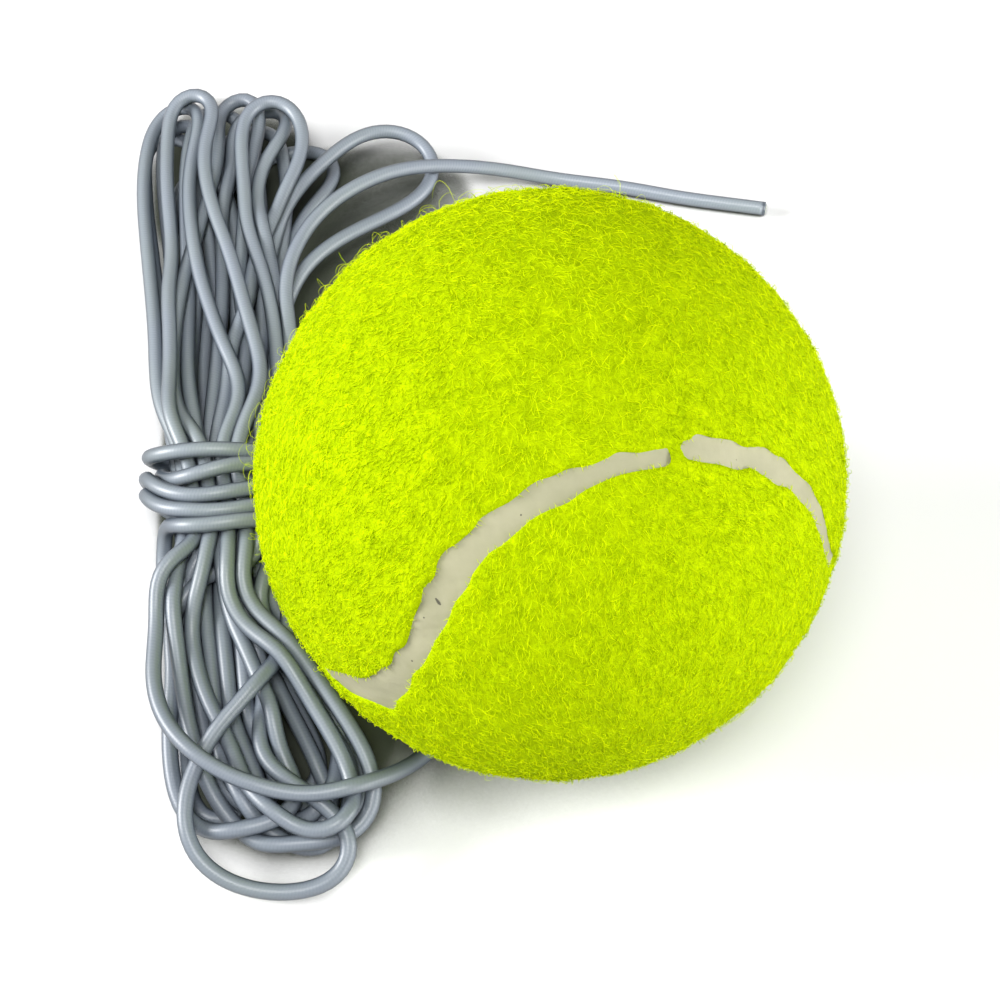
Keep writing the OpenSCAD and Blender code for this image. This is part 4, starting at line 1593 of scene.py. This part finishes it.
@dataclass
class Settling:
    """Lets a cord settle: it keeps its length, resists bending and stays off itself.

    pull draws it to its drawn route, less with each round, and bending straightens it. No bend
    stays tighter than least_bend. look_out is how far beyond touching it looks for itself, and
    the last held_at_end points stay where they are.
    """

    diameter: float
    ball_centre: np.ndarray
    ball_radius: float
    pull: float = 0.03
    bending: float = 0.12
    least_bend: float = 2.8
    look_out: float = 3.2
    rounds: int = 260
    held_at_end: int = 5

    def pairs(self, x: np.ndarray) -> tuple[np.ndarray, np.ndarray]:
        """Numbers of the segments that lie near each other.

        Args:
            x: The cord's points in millimetres.

        Returns:
            The first and the second segment of each pair.
        """
        reach = self.diameter + self.look_out
        middle = (x[1:] + x[:-1]) / 2
        cell = np.floor(middle / reach).astype(np.int64)
        cell -= cell.min(0)
        size = cell.max(0) + 3
        key = (cell[:, 0] * size[1] + cell[:, 1]) * size[2] + cell[:, 2]
        order = np.argsort(key, kind="stable")
        ranked = key[order]
        found = []
        for step in np.ndindex(3, 3, 3):
            other = key + ((step[0] - 1) * size[1] + step[1] - 1) * size[2] + step[2] - 1
            low = np.searchsorted(ranked, other, "left")
            count = np.searchsorted(ranked, other, "right") - low
            i = np.repeat(np.arange(len(middle)), count)
            offset = np.repeat(low - np.concatenate([[0], np.cumsum(count)[:-1]]), count)
            j = order[offset + np.arange(count.sum())]
            near = (j > i + 3) & (np.linalg.norm(middle[i] - middle[j], axis=1) < reach)
            found.append(np.stack([i[near], j[near]]))
        return tuple(np.hstack(found))

    @staticmethod
    def nearest(x: np.ndarray, i: np.ndarray, j: np.ndarray) -> tuple[np.ndarray, np.ndarray]:
        """Shares along segments i and j at which they come closest.

        Args:
            x: The cord's points in millimetres.
            i: Number of the first segment of each pair.
            j: Number of its second segment.

        Returns:
            The shares along the first and along the second, from 0 to 1.
        """
        d1, d2, r = x[i + 1] - x[i], x[j + 1] - x[j], x[i] - x[j]
        a, e, b = (d1 * d1).sum(1), (d2 * d2).sum(1), (d1 * d2).sum(1)
        c, f = (d1 * r).sum(1), (d2 * r).sum(1)
        den = a * e - b * b
        s = np.where(den > 1e-9, np.clip((b * f - c * e) / np.maximum(den, 1e-9), 0, 1), 0.5)
        t = np.clip((b * s + f) / e, 0, 1)
        return np.clip((b * t - c) / a, 0, 1), t

    def part(self, x: np.ndarray, pairs: tuple[np.ndarray, np.ndarray],
             free: np.ndarray) -> None:
        """Pushes overlapping segments apart.

        Args:
            x: The cord's points, which are moved.
            pairs: Segments that lie near each other.
            free: One for each point that may move, and zero for the rest.
        """
        i, j = pairs
        s, t = self.nearest(x, i, j)
        gap = (x[i] * (1 - s)[:, None] + x[i + 1] * s[:, None]
               - x[j] * (1 - t)[:, None] - x[j + 1] * t[:, None])
        size = np.linalg.norm(gap, axis=1)
        hit = size < self.diameter
        i, j, s, t, gap, size = i[hit], j[hit], s[hit], t[hit], gap[hit], size[hit]
        push = gap / np.maximum(size, 1e-6)[:, None] * (0.5 * (self.diameter - size))[:, None]
        moved, share = np.zeros_like(x), np.zeros(len(x))
        for at, weight, sign in ((i, 1 - s, 1), (i + 1, s, 1), (j, 1 - t, -1), (j + 1, t, -1)):
            for axis in range(3):
                moved[:, axis] += np.bincount(at, sign * push[:, axis] * weight, len(x))
            share += np.bincount(at, weight, len(x))
        x += free * moved / np.maximum(share, 1)[:, None] * 1.3

    def open_bends(self, x: np.ndarray, free: np.ndarray, spacing: float) -> None:
        """Opens the bends that are tighter than the least radius.

        Args:
            x: The cord's points, which are moved.
            free: One for each point that may move.
            spacing: Distance between the points.
        """
        for reach in (2, 4):
            chord = 2 * self.least_bend * math.sin(reach * spacing / 2 / self.least_bend)
            for first in range(reach):
                i = np.arange(first, len(x) - reach, reach)
                d = x[i + reach] - x[i]
                size = np.linalg.norm(d, axis=1)
                shift = (0.25 * np.minimum(size - chord, 0) / size)[:, None] * d
                x[i] += shift * free[i]
                x[i + reach] -= shift * free[i + reach]

    def keep_out(self, x: np.ndarray, free: np.ndarray) -> None:
        """Keeps the cord over the table and off the ball.

        Args:
            x: The cord's points, which are moved.
            free: One for each point that may move.
        """
        low = np.maximum(x[:, 2], self.diameter / 2 + 0.02)
        x[:, 2] = np.where(free[:, 0] > 0, low, x[:, 2])
        away = x - self.ball_centre
        size = np.linalg.norm(away, axis=1)
        inside = (size < self.ball_radius) & (free[:, 0] > 0)
        x[inside] = self.ball_centre + away[inside] * (self.ball_radius
                                                       / size[inside])[:, None]

    def run(self, start: np.ndarray) -> np.ndarray:
        """Settles the cord.

        Args:
            start: Points of the drawn route in even steps, in millimetres.

        Returns:
            The settled points.
        """
        x = start.copy()
        free = np.ones((len(x), 1))
        free[0] = 0
        free[-self.held_at_end:] = 0
        rest = np.linalg.norm(np.diff(x, axis=0), axis=1)
        halves = (np.arange(0, len(x) - 1, 2), np.arange(1, len(x) - 1, 2))
        for turn in range(self.rounds):
            if turn % 10 == 0:
                pairs = self.pairs(x)
            x += (start - x) * self.pull * (1 - turn / self.rounds)
            stiff = np.zeros_like(x)
            stiff[2:-2] = (4 * (x[1:-3] + x[3:-1]) - (x[:-4] + x[4:]) - 6 * x[2:-2]) / 6
            x += self.bending * stiff * free
            self.open_bends(x, free, rest.mean())
            for _ in range(2):
                self.part(x, pairs, free)
                self.keep_out(x, free)
            for _ in range(2):
                for e in halves:
                    d = x[e + 1] - x[e]
                    size = np.linalg.norm(d, axis=1)
                    shift = (0.5 * (size - rest[e]) / size)[:, None] * d
                    x[e] += shift * free[e]
                    x[e + 1] -= shift * free[e + 1]
        return x


@dataclass
class Tether:
    """The elastic tether: one length of braided cord from the ball's neck to its cut end.

    In the waist its strands lie strand_gap apart and lean by waist_lean along waist_y. It keeps
    ball_gap off the ball. mouth is the sheath's end as distances past the cut and shares of the
    cord's radius, and stub the same for the rubber and its own radius.
    """

    view: Viewpoint
    ball: BallShape
    diameter: float = 2.0
    rubber_diameter: float = 1.456
    sides: int = 12
    rubber_sides: int = 24
    step: float = 1.0
    drawn_step: float = 2.0
    ball_gap: float = 1.6
    waist_y: tuple[float, float, float] = (4.0, 11.5, 19.0)
    waist_lean: float = 0.16
    strand_gap: float = 2.1
    mouth: tuple[tuple[float, float], ...] = (
        (-0.12, 1.02), (-0.02, 0.96), (0.05, 0.86), (-0.1, 0.76), (-1.2, 0.74))
    stub: tuple[tuple[float, float], ...] = (
        (-1.0, 0.98), (-0.3, 1.0), (0.12, 0.98), (0.2, 0.86), (0.24, 0.6), (0.27, 0.3))

    def build(self) -> None:
        """Makes the cord and its cut end and dresses the knot and the neck."""
        braid = BraidedYarn("braided_polyester_sheath").material()
        rubber = CutRubber("cut_rubber_threads").material()
        path = self.settled_path()
        cord = finish_piece(self.tube("tether_cord", path, braid), "tether", "braid",
                            "cord_lead", "cord_hank", "cord_binding", "cord_tail",
                            "cord_end_sheath")
        end = finish_piece(self.cut_end(path, rubber), "tether", "cord_rubber",
                           "cord_end_rubber")
        plain = BraidedYarn("braided_polyester_knot", along_uv=False).material()
        for node in ("cord_knot", "cord_neck"):
            dress_node(node, plain)

    def at(self, points: tuple) -> list[np.ndarray]:
        """Turns picture places with heights into points in millimetres."""
        return [self.view.at_height(*p) for p in points]

    def waist(self, place: tuple[Row, int], upward: bool) -> list[np.ndarray]:
        """Three points of a strand as it passes through the drawn-in waist.

        Args:
            place: Row of strands and number in the row.
            upward: Whether the strand runs to the far bends.

        Returns:
            Points in millimetres.
        """
        height, left = place[0].value
        x = left + self.strand_gap * place[1]
        middle = self.waist_y[1]
        return [np.array([x + self.waist_lean * (middle - y), y, height])
                for y in (self.waist_y if upward else self.waist_y[::-1])]

    def settled_path(self) -> np.ndarray:
        """Lays the whole route and lets it settle.

        Returns:
            Points of the cord's middle line in even steps, in millimetres.
        """
        route = list(LEAD_START) + self.at(LEAD_PX)
        for loop in LOOPS:
            route += self.waist(loop.up, True) + self.at(loop.far)
            route += self.waist(loop.down, False) + self.at(loop.near)
        route += list(INTO_BINDING)
        for over, below in TURNS:
            route += self.at(over) + list(below)
        route += list(TAIL_START) + self.at(TAIL_PX) + list(TAIL_END)
        start = smooth_line(np.array([tuple(p) for p in route]), self.drawn_step)
        settling = Settling(self.diameter, self.ball.centre, self.ball.radius + self.ball_gap)
        path = smooth_line(settling.run(start), self.step)
        run = np.linalg.norm(np.diff(path, axis=0), axis=1).sum()
        LOG.info("tether: %.1f mm in %d points", run, len(path))
        return path

    @staticmethod
    def frames(path: np.ndarray) -> tuple[np.ndarray, np.ndarray, np.ndarray]:
        """Directions along the path and two across it, without twist.

        Args:
            path: Middle line in millimetres.

        Returns:
            Three unit vectors per point.
        """
        along = unit(np.gradient(path, axis=0))
        first = unit(np.cross(along[0], [0.3, 0.2, 1.0]))
        sides = [first]
        for way in along[1:]:
            sides.append(unit(sides[-1] - (sides[-1] @ way) * way))
        across = np.array(sides)
        return along, across, np.cross(along, across)

    def tube(self, name: str, path: np.ndarray, material: bpy.types.Material) -> bpy.types.Object:
        """Sweeps the sheath along the path; its cut end is left open round the rubber.

        Args:
            name: Name of the piece.
            path: Middle line in millimetres.
            material: Finish of the sheath.

        Returns:
            The piece, with turns and millimetres in its UV map.
        """
        along, across, above = self.frames(path)
        past, shares = np.array(self.mouth).T
        centre = np.vstack([path, path[-1] + along[-1] * past[:, None]])
        radii = self.diameter / 2 * np.concatenate([np.ones(len(path)), shares])
        turned = np.minimum(np.arange(len(centre)), len(path) - 1)
        angles = np.arange(self.sides) * 2 * math.pi / self.sides
        ring = (across[turned][:, None] * np.cos(angles)[None, :, None]
                + above[turned][:, None] * np.sin(angles)[None, :, None])
        vertices = (centre[:, None] + ring * radii[:, None, None]).reshape(-1, 3)
        vertices = np.vstack([vertices, path[:1], centre[-1:]])
        rows, n = len(centre), self.sides
        faces = [(k * n + c, k * n + (c + 1) % n, (k + 1) * n + (c + 1) % n, (k + 1) * n + c)
                 for k in range(rows - 1) for c in range(n)]
        faces += [(rows * n, (c + 1) % n, c) for c in range(n)]
        faces += [(rows * n + 1, (rows - 1) * n + c, (rows - 1) * n + (c + 1) % n)
                  for c in range(n)]
        obj = mesh_piece(name, vertices, faces, material)
        run = np.concatenate([[0], np.cumsum(np.linalg.norm(np.diff(centre, axis=0), axis=1))])
        turn = [[c / n, (c + 1) / n, (c + 1) / n, c / n] for c in range(n)]
        body = np.empty((rows - 1, n, 4, 2))
        body[..., 0] = np.array(turn)[None]
        body[..., 1] = np.stack([run[:-1], run[:-1], run[1:], run[1:]], axis=1)[:, None]
        caps = np.tile([[0.0, 0.0]] * 3, (2 * n, 1))
        layer = obj.data.uv_layers.new(name="turn_and_run")
        layer.data.foreach_set("uv", np.concatenate([body.reshape(-1, 2), caps]).ravel())
        return obj

    def cut_end(self, path: np.ndarray, material: bpy.types.Material) -> bpy.types.Object:
        """Makes the rubber threads at the cut, which stand a little out of the sheath.

        Args:
            path: The cord's middle line in millimetres.
            material: Finish of the cut rubber.

        Returns:
            The piece, whose rim shows the threads as shallow notches.
        """
        along, across, above = self.frames(path[-3:])
        radius, n = self.rubber_diameter / 2, self.rubber_sides
        angles = np.arange(n) * 2 * math.pi / n
        ring = (across[-1] * np.cos(angles)[:, None] + above[-1] * np.sin(angles)[:, None])
        notch = 1 + 0.05 * np.sin(angles * 6)
        rows = [path[-1] + along[-1] * past + ring * (radius * share * notch)[:, None]
                for past, share in self.stub]
        vertices = np.vstack(rows + [path[-1:] + along[-1] * 0.25, path[-1:] - along[-1]])
        last = len(self.stub) - 1
        faces = [(k * n + c, k * n + (c + 1) % n, (k + 1) * n + (c + 1) % n, (k + 1) * n + c)
                 for k in range(last) for c in range(n)]
        tip, base = (last + 1) * n, (last + 1) * n + 1
        faces += [(tip, last * n + c, last * n + (c + 1) % n) for c in range(n)]
        faces += [(base, (c + 1) % n, c) for c in range(n)]
        return mesh_piece("tether_cut_end", vertices, faces, material)


def main() -> None:
    """Builds the whole scene."""
    logging.basicConfig(level=logging.INFO, format="%(name)s: %(message)s")
    view, shape = Viewpoint(), BallShape()
    Studio(view).build()
    Tether(view, shape).build()
    Ball(shape, view).build()


if __name__ == "__main__":
    main()
